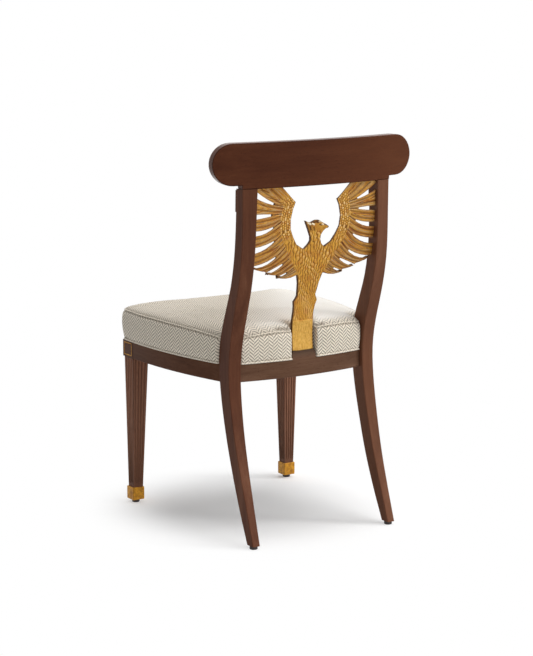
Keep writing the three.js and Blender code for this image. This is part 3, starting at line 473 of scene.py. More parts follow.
# Where gouges and the ridges between them lie across a feather
valley_shares = (0.3, 0.72)
ridge_shares = (0.1, 0.52, 0.9)
valley_depth, valley_width = 0.0012, 0.0022
ridge_depth, ridge_width = 0.0002, 0.0010
root_depth, root_width = 0.0016, 0.0015
edge_draft = 0.38
draft_reach = (0.0015, 0.0055)
rim_width = 0.0017
wall_depth = (0.0007, 0.0019)
sunk = 0.0004
bead_pitch = 0.0059
bead_rows = 5
bead_depth = 0.0014
scale_width = 0.0063
scale_length = 0.0125
scale_depth = 0.0011
scale_centre = 0.19
strand_top = 0.553
vane_strokes = 430
cut_depth, light_depth, plume_depth = 0.0012, 0.0004, 0.0006
plume_pitch = 0.0042
# Cuts and raised lights on the head, in X and Z: brow, eye, skull, cheek, mouth; crest and beak
head_cuts = [
    (0.0080, 0.7255, -0.0029, 0.7280, 0.0021), (-0.0041, 0.7262, -0.0125, 0.7272, 0.0018),
    (-0.0041, 0.7300, -0.0161, 0.7305, 0.0019), (-0.0113, 0.7208, -0.0163, 0.7190, 0.0014),
    (-0.0240, 0.7205, -0.0320, 0.7185, 0.0015), (0.0152, 0.7228, 0.0099, 0.7245, 0.0020),
    (0.0150, 0.7190, 0.0110, 0.7100, 0.0013), (0.0035, 0.7150, 0.0015, 0.7080, 0.0013),
]
# The lights are raised a little and carry a painted highlight
head_lights = [
    (-0.0110, 0.7290, -0.0221, 0.7274, 0.0024), (-0.0230, 0.7262, -0.0350, 0.7228, 0.0023),
    (0.0205, 0.7272, 0.0130, 0.7232, 0.0022), (0.0080, 0.7240, 0.0036, 0.7218, 0.0018),
    (-0.0180, 0.7215, -0.0225, 0.7200, 0.0014),
]
gold_leaf = (0.76, 0.395, 0.052, 1)
gold_warm = (0.56, 0.245, 0.030, 1)
gold_highlight = (0.90, 0.59, 0.21, 1)
pale_gold = (1.0, 0.88, 0.64, 1)
plinth_golds = ((0.56, 0.280, 0.042, 1), (0.86, 0.545, 0.140, 1))
ash_grey = (0.50, 0.350, 0.185, 1)
leaf_orange = (0.52, 0.165, 0.022, 1)
leaf_bole = (0.078, 0.025, 0.009, 1)
rim_brown = (0.150, 0.052, 0.014, 1)
rub_brown = (0.26, 0.092, 0.022, 1)
slot_bole_and_shade = (0.070, 0.026, 0.012, 1)
# Strokes along the feathers: where the noise starts and ends, how much shows, and its colour
vane_tones = ((0.51, 0.60, 0.85, leaf_orange), (0.58, 0.66, 0.75, leaf_bole),
              (0.46, 0.38, 0.60, ash_grey))


def placed(share):
    """A point of the opening, from its shares."""
    return np.array([share[0] * opening_half, shoe_top + share[1] * opening_height])


def board_back(z):
    """Where the board's back face is at a height."""
    heights, places = sweep_shares[:, 0], sweep_shares[:, 1]
    slopes = np.gradient(places, heights)
    up = np.clip((z - shoe_top) / opening_height, 0, 1)
    low = np.clip(np.searchsorted(heights, up) - 1, 0, len(heights) - 2)
    span = heights[low + 1] - heights[low]
    t = (up - heights[low]) / span
    rise = places[low + 1] - places[low]
    value = (places[low] + slopes[low] * span * (t ** 3 - 2 * t ** 2 + t)
             + rise * (3 * t ** 2 - 2 * t ** 3) + slopes[low + 1] * span * (t ** 3 - t ** 2))
    return value * foot_reach + frame_shift


def slot_edge(slot, sign, places):
    """One edge of a slot, at places along it; before its root it goes on as one line."""
    root, end, bow, middle, mouth = slot
    start = placed(root)
    run = placed(end) - start
    across = np.array([-run[1], run[0]])
    t = places[:, None]
    opened = np.maximum(places, 0)[:, None]
    width = 4 * middle * opened * (1 - opened) + mouth * opened * (2 * opened - 1)
    return start + run * t + across * (4 * bow * t * (1 - t) + sign * width / 2)


def nearest_on(points, starts, ends):
    """For each point, the distance to the nearest stretch, that stretch and the nearest place."""
    distance = np.full(len(points), 1e9)
    stretch = np.zeros(len(points), int)
    share = np.zeros(len(points))
    runs = ends - starts
    squares = np.maximum((runs ** 2).sum(1), 1e-18)
    batch = 8000
    for at in range(0, len(points), batch):
        part = points[at:at + batch, None, :] - starts[None]
        t = np.clip((part * runs).sum(2) / squares, 0, 1)
        gap = np.sqrt(((part - t[..., None] * runs) ** 2).sum(2))
        best = gap.argmin(1)
        rows = np.arange(len(best))
        distance[at:at + batch] = gap[rows, best]
        stretch[at:at + batch] = best
        share[at:at + batch] = t[rows, best]
    return distance, stretch, starts[stretch] + runs[stretch] * share[:, None]


def curve_set(curves):
    """Starts and ends of all stretches of a set of curves."""
    return np.concatenate([c[:-1] for c in curves]), np.concatenate([c[1:] for c in curves])


def runs_along(line):
    """How far along a line each of its points lies."""
    return np.concatenate([[0], np.cumsum(np.linalg.norm(np.diff(line, axis=0), axis=1))])


def smooth_step(value, low, high):
    t = np.clip((value - low) / (high - low), 0, 1)
    return t * t * (3 - 2 * t)


def strokes(x, z, table):
    """How deep a set of short chisel strokes lies at points: each has two ends and a width."""
    points = np.stack([x, z], 1)
    deepest = np.zeros(len(x))
    for x0, z0, x1, z1, width in table:
        gap = nearest_on(points, np.array([[x0, z0]]), np.array([[x1, z1]]))[0]
        deepest = np.maximum(deepest, np.exp(-(gap / width) ** 2))
    return deepest


def beads_at(points):
    """Rows of beads along the wing's inner edge: distance and run, dome and unevenness."""
    inner = np.array([placed(share) for share in wing_inner_shares])
    gap, stretch, near = nearest_on(points, *curve_set([inner]))
    run = runs_along(inner)[stretch] + np.linalg.norm(near - inner[stretch], axis=1)
    row = np.floor(gap / bead_pitch)
    across = (gap / bead_pitch - row - 0.5) * bead_pitch
    count = run / bead_pitch + 0.5 * (row % 2)
    down = (count - np.floor(count) - 0.5) * bead_pitch
    uneven = np.sin(np.floor(count) * 4.7 + row * 2.9)
    radius = (0.5 + 0.06 * uneven) * bead_pitch
    return gap, run, np.sqrt(np.clip(1 - (across ** 2 + down ** 2) / radius ** 2, 0, 1)), uneven


def scales_at(x, z):
    """Overlapping scales that turn into long strands below: height, strands and glint."""
    wave = (0.0017 * np.sin(z / 0.0094 + 2.4 * np.sin(x / 0.0125))
            + 0.0010 * np.sin(z / 0.0026 + 3.2 * np.sin(x / 0.0083) + 1.7 * np.sin(z / 0.0123)))
    column = (np.arctan2(x, z - scale_centre) * 0.40 + wave) / scale_width
    whole = np.floor(column)
    side = 2 * np.abs(column - whole - 0.5)
    up = z / scale_length + 0.5 * (whole % 2) + 0.2 * side ** 2 + 0.45 * np.sin(whole * 12.9)
    rise = up - np.floor(up)
    strands = 1 - smooth_step(z, strand_top - 0.004, strand_top + 0.006)
    step = 0.42 + 0.58 * rise ** 0.5
    scale = (1 - side ** 2.4) * (step * (1 - strands) + (0.84 + 0.16 * rise) * strands)
    return scale, strands, 0.5 + 0.35 * np.sin(np.floor(up) * 5.3 + whole * 7.1)


def carving(x, z):
    """The carving at points of the face: its depth, and masks for its tones: bole in the hollows,
    painted highlights on the high points and the head.
    """
    points = np.stack([np.abs(x), z], 1)
    feather_edges = [top_feather_edge, *slot_shares, low_feather_edge]
    along = np.linspace(-0.3, 1.0, 15)
    valleys, ridges = [], []
    for upper, lower in zip(feather_edges[:-1], feather_edges[1:]):
        top, bottom = slot_edge(upper, -1, along), slot_edge(lower, 1, along)
        valleys += [top + (bottom - top) * share for share in valley_shares]
        ridges += [top + (bottom - top) * share for share in ridge_shares]
    roots = [slot_edge(slot, 0, np.linspace(-0.2, 0.06, 5)) for slot in slot_shares]
    middles = [slot_edge(edge, 0, along) for edge in feather_edges]
    valley_gap, ridge_gap, root_gap, vane = (
        nearest_on(points, *curve_set(curves))[0] for curves in (valleys, ridges, roots, middles))
    edge_gap, edge_run, dome, uneven = beads_at(points)
    scale, strands, glint = scales_at(x, z)

    height = (z - shoe_top) / opening_height
    reach = np.abs(x)
    body_half = np.interp(height, body_heights, body_halves)
    neck = (height > neck_height) & (reach < head_half)
    body = 1 - smooth_step(reach, body_half - 0.005, body_half + 0.004)
    body = np.where(neck, 1, body)
    beaded = 1 - smooth_step(edge_gap, (bead_rows - 0.7) * bead_pitch,
                             (bead_rows + 0.1) * bead_pitch)
    beaded *= smooth_step(edge_run, 0.012, 0.040) * (height > 0.6) * (reach > 0.028)
    beaded = np.where(neck & (edge_gap > 0.02), 0, beaded)
    fading = smooth_step(edge_run, 0.118, 0.142) * beaded
    body, beaded = np.maximum(body, fading), beaded - fading
    scaled = body * (1 - beaded)
    feather = (1 - body) * (1 - beaded)
    valley = np.exp(-(valley_gap / valley_width) ** 2)
    ridge = np.exp(-(ridge_gap / ridge_width) ** 2)
    root = np.exp(-(root_gap / root_width) ** 2) * (1 - body)
    head = smooth_step(height, *head_heights) * (reach < head_half)
    off_head = 1 - head
    plain = 1 - smooth_step(z, plinth_top - 0.0006, plinth_top + 0.0008)
    carved = 1 - plain

    depth = (bead_depth * (1 - dome) * beaded + scale_depth * (1 - scale) * scaled
             + (valley_depth * valley - ridge_depth * ridge) * feather)
    depth = np.maximum(depth, root_depth * root)
    turn = (x * 0.9 - (z - 0.72)) / plume_pitch * 2 * math.pi
    plumes = (0.5 - 0.5 * np.cos(turn)) * smooth_step(x, 0.002, 0.010)
    cuts, lights = strokes(x, z, head_cuts), strokes(x, z, head_lights)
    face = cut_depth * cuts - light_depth * lights + plume_depth * plumes
    depth = (depth * off_head + face * head + sunk) * carved

    hollow = (bead_hollow * smooth_step(1 - dome, 0.15, 0.85) * beaded
              + scale_hollow * smooth_step(1 - scale, 0.32, 0.92) * (1 - 0.2 * strands) * scaled
              + (feather_hollow + valley_hollow * valley) * feather)
    hollow = np.maximum(hollow, root_hollow * root)
    hollow = hollow * off_head + head * np.clip(0.30 + 1.2 * cuts + 0.55 * plumes, 0, 1.2)
    # Painted highlights: the tops of the beads, the feathers' ridges, glints on the scales and the
    # lights on the head; the tallest beads get a pale one
    painted_highlight = (dome ** 2 * (0.65 + 0.35 * uneven) * beaded + 0.12 * ridge * feather
            + glint * smooth_step(scale, 0.6, 0.92) * scaled)
    painted_highlight = painted_highlight * off_head + head * lights
    domed = beaded * dome ** 3 * smooth_step(uneven, 0.45, 0.95)
    beak_end = smooth_step(-x, 0.0330, 0.0350) * smooth_step(-z, -0.7200, -0.7175)
    nape = smooth_step(x, 0.0255, 0.0275)
    return depth, dict(hollow=hollow * carved, painted_highlight=np.clip(painted_highlight, 0, 1) * carved,
                       pale_highlight=head * lights + 0.36 * off_head * domed,
                       ash=ridge * feather * off_head * carved,
                       dark=head * np.clip(beak_end + nape, 0, 1), plain=plain,
                       feather=feather * off_head * carved, vane=vane)


def splat_edges():
    """Edges of the board's back face in X and Z, and the direction from each into the wood."""
    shape = bmesh.new()
    shape.from_mesh(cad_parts["splat"].data)
    bmesh.ops.remove_doubles(shape, verts=shape.verts, dist=weld)
    starts, ends, inwards = [], [], []
    for edge in shape.edges:
        if len(edge.link_faces) != 2:
            continue
        flat = [face for face in edge.link_faces if face.normal.y > 0.5]
        wall = [face for face in edge.link_faces if abs(face.normal.y) < 0.3]
        first, second = (vert.co for vert in edge.verts)
        middle = (first + second) / 2
        steep = abs(first.x - second.x) < 0.25 * abs(first.z - second.z)
        inside = shoe_top + 0.0015 <= middle.z <= shoulder_height - 0.001
        if not flat or not wall or not inside or (steep and abs(middle.x) > shoulder_half):
            continue
        starts.append((first.x, first.z))
        ends.append((second.x, second.z))
        inwards.append((-wall[0].normal.x, -wall[0].normal.z))
    shape.free()
    inwards = np.array(inwards)
    return np.array(starts), np.array(ends), inwards / np.linalg.norm(inwards, axis=1)[:, None]


def applied(holder):
    """The holder's mesh with its modifiers applied. The holder itself goes."""
    graph = bpy.context.evaluated_depsgraph_get()
    mesh = bpy.data.meshes.new_from_object(holder.evaluated_get(graph))
    bpy.data.objects.remove(holder)
    return mesh


def remeshed(mesh, voxel, name):
    holder = linked(name, mesh)
    remesh = holder.modifiers.new("Even faces", "REMESH")
    remesh.mode, remesh.voxel_size = "VOXEL", voxel
    return applied(holder)


def carved_splat():
    """The board remeshed finely, its edges rounded and its two faces carved."""
    mesh = remeshed(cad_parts["splat"].data.copy(), splat_voxel, "splat_blank")
    place = points_of(mesh)
    plan, height = place[:, [0, 2]], place[:, 2]
    starts, ends, inwards = splat_edges()
    gap, stretch, edge = nearest_on(plan, starts, ends)
    inward = inwards[stretch]
    feathered = smooth_step(np.abs(plan[:, 0]), 0.035, 0.075)
    within = ((plan - edge) * inward).sum(1)
    into = np.where((gap > 0.0012)[:, None], (plan - edge) / np.maximum(gap, 1e-9)[:, None], inward)
    depth = board_back(height) - place[:, 1]
    snap = 0.8 * splat_voxel
    board = (height > shoe_top + 0.0002) & (height < shoulder_height)
    back = board & (depth < snap)
    front = board & (depth > board_thickness - snap)
    wall = board & ~back & ~front & (np.abs(within) < snap) & (gap < 2 * snap)
    at_edge = wall | (gap < 0.4 * splat_voxel)
    depth = np.where(back, 0, np.where(front, board_thickness, depth))
    inside = np.where(at_edge, 0, gap)
    from_face = np.minimum(depth, board_thickness - depth)
    corner = board & (back | front | wall) & (inside < carving_round) & (from_face < carving_round)
    flat_run, flat_rise = inside - carving_round, from_face - carving_round
    length = np.maximum(np.hypot(flat_run, flat_rise), 1e-9)
    new_inside = np.where(corner, carving_round + flat_run / length * carving_round, inside)
    new_face = np.where(corner, carving_round + flat_rise / length * carving_round, from_face)
    base = np.where(at_edge[:, None], edge, plan - into * inside[:, None])
    thinned = edge_draft * depth * feathered * board * (1 - smooth_step(inside, *draft_reach))
    close = corner | wall | (thinned > 0)
    moved = np.where(close[:, None], base + into * (new_inside + thinned)[:, None], plan)
    depth = np.where(depth < board_thickness / 2, new_face, board_thickness - new_face)
    carved, masks = carving(moved[:, 0], moved[:, 1])
    fade = smooth_step(moved[:, 1], shoe_top + 0.001, shoe_top + 0.003)
    fade *= 1 - smooth_step(moved[:, 1], shoulder_height - 0.003, shoulder_height - 0.001)
    carved = carved * fade * (back | front) * (0.3 + 0.7 * smooth_step(new_inside, 0.0002, 0.0014))
    from_face = np.minimum(depth, board_thickness - depth)
    masks["hollow"] = masks["hollow"] * fade
    # The walls deep in the slots go dark: bole left ungilded there, and painted shade
    masks["wall"] = smooth_step(from_face, *wall_depth) * board
    masks["rim"] = np.exp(-(np.minimum(inside, new_inside) / rim_width) ** 2) * board
    depth = np.where(back, depth + carved, np.where(front, depth - carved, depth))
    new_y = np.where(board, board_back(moved[:, 1]) - depth, place[:, 1])
    out = np.where(board[:, None], np.stack([moved[:, 0], new_y, moved[:, 1]], 1), place)
    mesh.vertices.foreach_set("co", out.ravel())
    mesh.update()
    return mesh, masks


def feather_vanes(shading, leaf):
    """Fine strokes along each feather, where bole, old brown wax and grey rubs show in the leaf."""
    run = shading.ranged(shading.mask("vane"), 0, 0.1, 0, 0.1 * vane_strokes)
    across = shading.node("CombineXYZ", run).outputs[0]
    place = shading.node("VectorMath", shading.stretched((38, 38, 38)), across, operation="ADD")
    stroke = shading.noise(place.outputs[0], 1, 2, 0.4)
    feather = shading.mask("feather")
    for start, end, share, colour in vane_tones:
        shown = shading.calc("MULTIPLY", shading.ranged(stroke, start, end, 0, share), feather)
        leaf = shading.mixed(shown, leaf, colour)
    return leaf


def gilded_carving():
    material, shading, skin = new_material("Gold leaf over bole")
    gilding = shading.effect(antiqued_gilding, shading.stretched())
    patches = shading.noise(shading.stretched(), 75, 3)
    brushed = shading.noise(shading.stretched((1, 1, 0.30)), 420, 4, 0.6)
    leaf = shading.mixed(gilding["Cloud"], gold_warm, gold_leaf)
    leaf = shading.toned(leaf, patches, 0.55, leaf_orange, 0.52, 0.70)
    plinth = shading.mixed(shading.ranged(brushed, 0.32, 0.66), *plinth_golds)
    leaf = feather_vanes(shading, shading.toned(leaf, "plain", 0.8, plinth))
    ash = shading.calc("MULTIPLY", shading.mask("ash"),
                       shading.ranged(patches, 0.4, 0.6, 0.05, 0.75))
    for value, low, high, most, colour in (
            ("hollow", 0.12, 1.1, 0.92, leaf_bole), ("painted_highlight", 0.15, 1, 0.75, gold_highlight),
            ("pale_highlight", 0.1, 0.7, 0.92, pale_gold), (ash, 0, 1, 1, ash_grey),
            ("rim", 0.1, 1, 0.62, rim_brown), ("wall", 0, 1, 0.95, slot_bole_and_shade),
            ("dark", 0, 1, 0.9, leaf_bole), (gilding["Rub"], 0, 1, 0.5, rub_brown)):
        leaf = shading.toned(leaf, value, most, colour, low, high)
    shading.feed(skin, Base_Color=leaf, Metallic=0.3, Specular_IOR_Level=0.2,
                 Roughness=shading.ranged(shading.mask("hollow"), 0, 1, 0.38, 0.65))
    shading.bumped(skin, gilding["Relief"], 0.35, 0.0005)
    return material


splat_mesh, splat_masks = carved_splat()
splat = finished("splat_carved", splat_mesh, gilded_carving(), sharp=75)
marked(splat, **splat_masks)
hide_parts("splat")

# ---------------------------------------------------------------------------------------------
# Seat cushion: foam and wadding on a board, under a cover of herringbone cloth with a boxed side.
# The cover is stapled under the board, cut out round the rear legs and the splat, and crowned.
hem_height = 0.4076
seam_height = 0.481
crown_height = 0.503
# The seam is drawn down where the cover is pulled round each rear leg and beside the splat:
# place in plan, dip and reach
seam_dips = ((0.185, 0.157, 0.017, 0.09), (-0.185, 0.157, 0.008, 0.06),
             (0.037, 0.1785, 0.004, 0.022), (-0.037, 0.1785, 0.003, 0.022))
front_edge = -0.2643 + frame_shift
rail_front = -0.2169 + frame_shift
rail_rear = 0.11903 + frame_shift
rail_front_x = 0.2396
rail_rear_x = 0.1993
rail_bow = 0.013
rail_clear = 0.0005
rear_crown = 0.169034 + frame_shift
rear_radius = 0.8
leg_inner = 0.1669
# Front face of the rear legs at heights of the seat
leg_heights = (0.390, 0.439, 0.488, 0.537)
leg_fronts = (0.1187, 0.1192, 0.1308, 0.1502)
seat_corner = 0.018
cover_proud = 0.0035
cover_bulge = 0.008
leg_gap = 0.0012
notch_half = 0.0330
notch_tuck = 0.0050
notch_reach = 0.024
splat_front = rear_crown - 0.022 - 0.0015
cushion_voxel = 0.0053
swell_limit = 0.007
still_reach = 0.05
held_reach = 0.0052
held_hem = 0.004
sim_frames = 18
seam_groove = 0.0026
seam_reach = 0.0036
over_groove = 0.0016
fold_depth, fold_width = 0.0026, 0.0045
# Shade in the creases: at the top seam (sitter's right, and more to the left), under it, in the
# folds and over the hem
top_shade, left_shade, under_shade, fold_shade, hem_shade = 0.26, 0.34, 0.62, 0.9, 0.5
# Height share, bulge share and tuck share of the rings up the boxing
boxing_rings = ((0, 0, 0), (0.08, 0.25, 0.5), (0.3, 0.75, 1), (0.55, 1, 1), (0.8, 0.85, 1),
                (0.94, 0.5, 0.8), (1, 0.1, 0.6))
# Rings over the top: how far in, and how far up to the crown
crown_rings = ((0.02, 0.20), (0.06, 0.42), (0.12, 0.60), (0.22, 0.76), (0.36, 0.88), (0.55, 0.96),
               (0.78, 1), (0.93, 1.0))
# Pinched folds of the top beside the splat: two ends in plan
pinches = np.array(((0.037, 0.1705, 0.072, 0.1680), (-0.037, 0.1705, -0.055, 0.1690)))
seat_middle = np.array([0, (front_edge + rail_rear) / 2])


def rail_outer(y):
    """The side rail's outer face in plan."""
    t = (y - rail_front) / (rail_rear - rail_front)
    return rail_front_x + (rail_rear_x - rail_front_x) * t + 4 * rail_bow * t * (1 - t)


def rear_edge(x):
    return rear_crown - rear_radius + math.sqrt(rear_radius ** 2 - x ** 2)


def softened(line, cut_most):
    """A line in plan with its sharp corners cut round."""
    rounded = [line[0]]
    for last, point, following in zip(line, line[1:], line[2:]):
        before, after = last - point, following - point
        if math.pi - before.angle(after, math.pi) < 0.6:
            rounded.append(point)
            continue
        cut = min(cut_most, before.length * 0.45, after.length * 0.45)
        start, end = point + before.normalized() * cut, point + after.normalized() * cut
        rounded += [start, (start + end) * 0.25 + point * 0.5, end]
    return rounded + [line[-1]]


def seat_line(z, proud, clear, step=0.006, notch_round=0.0035, tuck=0.0):
    """The seat's outline in plan at a height, clear of the rear legs and of the splat."""
    leg_y = np.interp(z, leg_heights, leg_fronts) + frame_shift - clear
    inner = leg_inner - clear
    edge_y = front_edge - proud
    corner_x = rail_outer(front_edge + seat_corner) + rail_clear + proud
    half = [(0, edge_y)]
    half += [(corner_x - seat_corner + seat_corner * math.sin(a),
              edge_y + seat_corner * (1 - math.cos(a))) for a in np.linspace(0, math.pi / 2, 7)]
    half += [(rail_outer(y) + rail_clear + proud, y)
             for y in np.linspace(edge_y + seat_corner, leg_y, 40)[1:]]
    half += [(inner, leg_y), (inner, rear_edge(inner) + proud)]
    notch_x = notch_half + clear - leg_gap
    half += [(x, rear_edge(x) + proud - tuck * math.exp(-((x - notch_x) / notch_reach) ** 2))
             for x in np.linspace(inner, notch_x, 24)[1:]]
    notch_y = splat_front - clear
    half += [(notch_x, notch_y), (0, notch_y)]
    rounded = softened([Vector(point) for point in half], notch_round)
    spread = []
    for a, b in zip(rounded[:-1], rounded[1:]):
        count = max(1, round((b - a).length / step))
        spread += [a.lerp(b, k / count) for k in range(count)]
    spread.append(rounded[-1])
    whole = spread + [Vector((-p.x, p.y)) for p in reversed(spread[1:-1])]
    return np.array([(p.x, p.y) for p in whole])


def closed(line):
    """A line with its first point again at its end."""
    return np.vstack([line, line[:1]])


def even_ring(line, count):
    """A closed line in plan, cut into count equal steps from its first point."""
    ring = closed(line)
    run = runs_along(ring)
    at = np.linspace(0, run[-1], count, endpoint=False)
    return np.stack([np.interp(at, run, ring[:, 0]), np.interp(at, run, ring[:, 1])], 1)


def seam_level(plan):
    """The top seam's height at points in plan."""
    level = np.full(len(plan), seam_height)
    for x, y, dip, reach in seam_dips:
        level -= dip * np.exp(-np.hypot(plan[:, 0] - x, plan[:, 1] - y) / reach)
    return level


def outward_mesh(name, points, faces):
    """A mesh whose faces all look outwards."""
    mesh = bpy.data.meshes.new(name)
    mesh.from_pydata(points, [], faces)
    shape = bmesh.new()
    shape.from_mesh(mesh)
    bmesh.ops.recalc_face_normals(shape, faces=shape.faces)
    shape.to_mesh(mesh)
    shape.free()
    return mesh


def loft_mesh(name, rings, tube=False):
    """A mesh through rings of as many points each: closed at its two ends, or back on itself."""
    count = len(rings[0])
    points = np.concatenate(rings)
    faces = []
    for r in range(len(rings) if tube else len(rings) - 1):
        low, high = r * count, ((r + 1) % len(rings)) * count
        faces += [(low + i, low + (i + 1) % count, high + (i + 1) % count, high + i)
                  for i in range(count)]
    if not tube:
        for r, order in ((0, -1), (len(rings) - 1, 1)):
            low, centre = r * count, len(points)
            points = np.vstack([points, rings[r].mean(0)])
            faces += [(low + i, low + (i + 1) % count, centre)[::order] for i in range(count)]
    return outward_mesh(name, points.tolist(), faces)


def ring_line(up, out, tuck, notch_round=0.0035):
    """The cushion's outline at a share of the boxing's height."""
    return seat_line(hem_height + (seam_height - hem_height) * up,
                     cover_proud + (cover_bulge - cover_proud) * out - 0.0006, leg_gap + 0.0008,
                     notch_round=notch_round, tuck=notch_tuck * tuck)


def seam_plan(step=0.006):
    """The top seam's line in plan."""
    return seat_line(seam_height, cover_proud, leg_gap, step=step,
                     tuck=notch_tuck * boxing_rings[-1][2])


def cushion_start():
    """The cushion before it swells: boxed sides that bow out, and a low crown."""
    count = len(seam_plan())
    rings = []
    for ring in boxing_rings:
        plan = even_ring(ring_line(*ring), count)
        level = hem_height + (seam_level(plan) - hem_height) * ring[0]
        rings.append(np.column_stack([plan, level]))
    rim, rim_height = rings[-1][:, :2], rings[-1][:, 2]
    spoke = rim - seat_middle
    core = seat_middle + spoke / np.linalg.norm(spoke, axis=1)[:, None] * 0.07
    for inward, up in crown_rings:
        level = rim_height + (crown_height - 0.003 - rim_height) * up
        rings.append(np.column_stack([rim + (core - rim) * inward, level]))
    return loft_mesh("cushion_start", rings)


def seam_distance(place):
    """Distance in plan from the top seam, run along it, its whole length and the nearest place."""
    ring = closed(seam_plan())
    gap, stretch, near = nearest_on(place[:, :2], *curve_set([ring]))
    runs = runs_along(ring)
    return gap, runs[stretch] + np.linalg.norm(near - ring[stretch], axis=1), runs[-1], near


def swollen(mesh):
    """The cover drawn tight by the foam: cloth under pressure, held at its hem and at its seam."""
    rest = points_of(mesh)
    gap = seam_distance(rest)[0]
    holder = linked("cushion_cloth", mesh)
    held = holder.vertex_groups.new(name="held")
    at_seam = np.hypot(gap, rest[:, 2] - seam_level(rest)) < held_reach
    at_hem = rest[:, 2] < hem_height + held_hem
    held.add([int(i) for i in np.nonzero(at_seam | at_hem)[0]], 1.0, "REPLACE")
    cloth = holder.modifiers.new("Cloth", "CLOTH")
    for name, value in dict(quality=5, mass=0.35, tension_stiffness=18, compression_stiffness=12,
                            shear_stiffness=6, bending_stiffness=0.6, use_pressure=True,
                            uniform_pressure_force=4, vertex_group_mass="held").items():
        setattr(cloth.settings, name, value)
    cloth.settings.effector_weights.gravity = 0
    cloth.collision_settings.use_collision = False
    scene = bpy.context.scene
    for timed in (scene, cloth.point_cache):
        timed.frame_start, timed.frame_end = 1, sim_frames
    for number in range(1, sim_frames + 1):
        scene.frame_set(number)
    result = applied(holder)
    scene.frame_set(1)
    step = points_of(result) - rest
    size = np.linalg.norm(step, axis=1)
    step *= (np.minimum(size, swell_limit) / np.maximum(size, 1e-9))[:, None]
    from_legs = np.hypot(np.abs(rest[:, 0]) - leg_inner, rest[:, 1] - rail_rear)
    from_splat = np.hypot(rest[:, 0], rest[:, 1] - splat_front)
    for gap in (from_legs, from_splat):
        step[:, :2] *= smooth_step(gap / still_reach, 0.3, 1)[:, None]
    place = rest + step
    place[:, 2] = np.minimum(place[:, 2], crown_height + 0.002)
    result.vertices.foreach_set("co", place.ravel())
    return result


def squared(place):
    """The boxing's upright corners at the rear legs and the splat, drawn back to a crisp edge."""
    inner = leg_inner - leg_gap
    posts = [(inner, rear_edge(inner) + cover_proud), (notch_half, rear_edge(notch_half) + 0.001)]
    posts = np.array(posts + [(-x, y) for x, y in posts])
    share = (place[:, 2] - hem_height) / (seam_level(place) - hem_height)
    near = np.linalg.norm(place[:, None, :2] - posts[None], axis=2).min(1)
    chosen = np.nonzero((near < 0.017) & (share > 0.04) & (share < 0.99))[0]
    goals = np.array([
        nearest_on(place[chosen, :2], *curve_set([closed(ring_line(*ring, notch_round=0.0012))]))[2]
        for ring in boxing_rings])
    at = np.interp(share[chosen], [ring[0] for ring in boxing_rings], np.arange(len(boxing_rings)))
    low = np.minimum(at.astype(int), len(boxing_rings) - 2)
    rows = np.arange(len(chosen))
    goal = goals[low, rows] + (goals[low + 1, rows] - goals[low, rows]) * (at - low)[:, None]
    step = goal - place[chosen, :2]
    weight = np.exp(-(near[chosen] / 0.0125) ** 4) * (np.linalg.norm(step, axis=1) < 0.007)
    place[chosen, :2] += step * weight[:, None]
    return place


def sewn_cushion():
    """The finished cover: swollen, evenly fine, and drawn in along its seam; and its masks."""
    mesh = remeshed(cushion_start(), cushion_voxel, "cushion_blank")
    mesh = swollen(mesh)
    holder = linked("cushion_fine", mesh)
    relax = holder.modifiers.new("Relax", "SMOOTH")
    relax.factor, relax.iterations = 0.5, 2
    finer = holder.modifiers.new("Finer", "SUBSURF")
    finer.levels = finer.render_levels = 1
    fine = applied(holder)
    place = squared(points_of(fine))
    gap, run, _, near = seam_distance(place)
    rise = place[:, 2] - seam_level(place)
    under = np.hypot(gap, rise + 0.0030)
    over = np.hypot(gap - 0.0035, rise - 0.0010)
    toward = seat_middle - near
    toward /= np.linalg.norm(toward, axis=1)[:, None]
    puckers = 1 + 0.25 * np.sin(run / 0.0107) + 0.2 * np.sin(run / 0.031 + 1)
    pull = seam_groove * np.exp(-(under / seam_reach) ** 2) * puckers
    place[:, :2] += toward * pull[:, None]
    place[:, 2] -= over_groove * np.exp(-(over / seam_reach) ** 2) * puckers
    fold_gap = nearest_on(place[:, :2], pinches[:, :2], pinches[:, 2:])[0]
    pinched = np.exp(-(fold_gap / fold_width) ** 2) * (rise > 0.001)
    place[:, 2] -= fold_depth * pinched
    place[:, 2] = np.maximum(place[:, 2], hem_height)
    fine.vertices.foreach_set("co", place.ravel())
    fine.update()
    top = rise > 0
    shaded = top_shade + left_shade * smooth_step(place[:, 0], -0.035, 0.035)
    crease = np.where(top, shaded * np.exp(-np.hypot(gap, rise) / 0.013),
                      under_shade * np.exp(-((rise + 0.0036) / 0.0016) ** 2))
    crease = np.maximum(crease, fold_shade * pinched)
    over_hem = np.exp(-((place[:, 2] - hem_height - 0.0036) / 0.0013) ** 2)
    crease = np.maximum(crease, hem_shade * over_hem)
    # A painted highlight: the top away from the seam goes paler and its weave fades, most towards
    # the back and the chair's right, where the light comes from
    lean = 0.54 * place[:, 1] - 0.84 * place[:, 0]
    flat = smooth_step(gap, 0.003, 0.030) * top * smooth_step(lean, -0.08, 0.10)
    return fine, dict(crease=np.clip(crease, 0, 1), flat=flat)


def read_from(items, name, width=1, kind=float):
    """One measure of all the items of a mesh."""
    values = np.zeros(len(items) * width, kind)
    items.foreach_get(name, values)
    return values


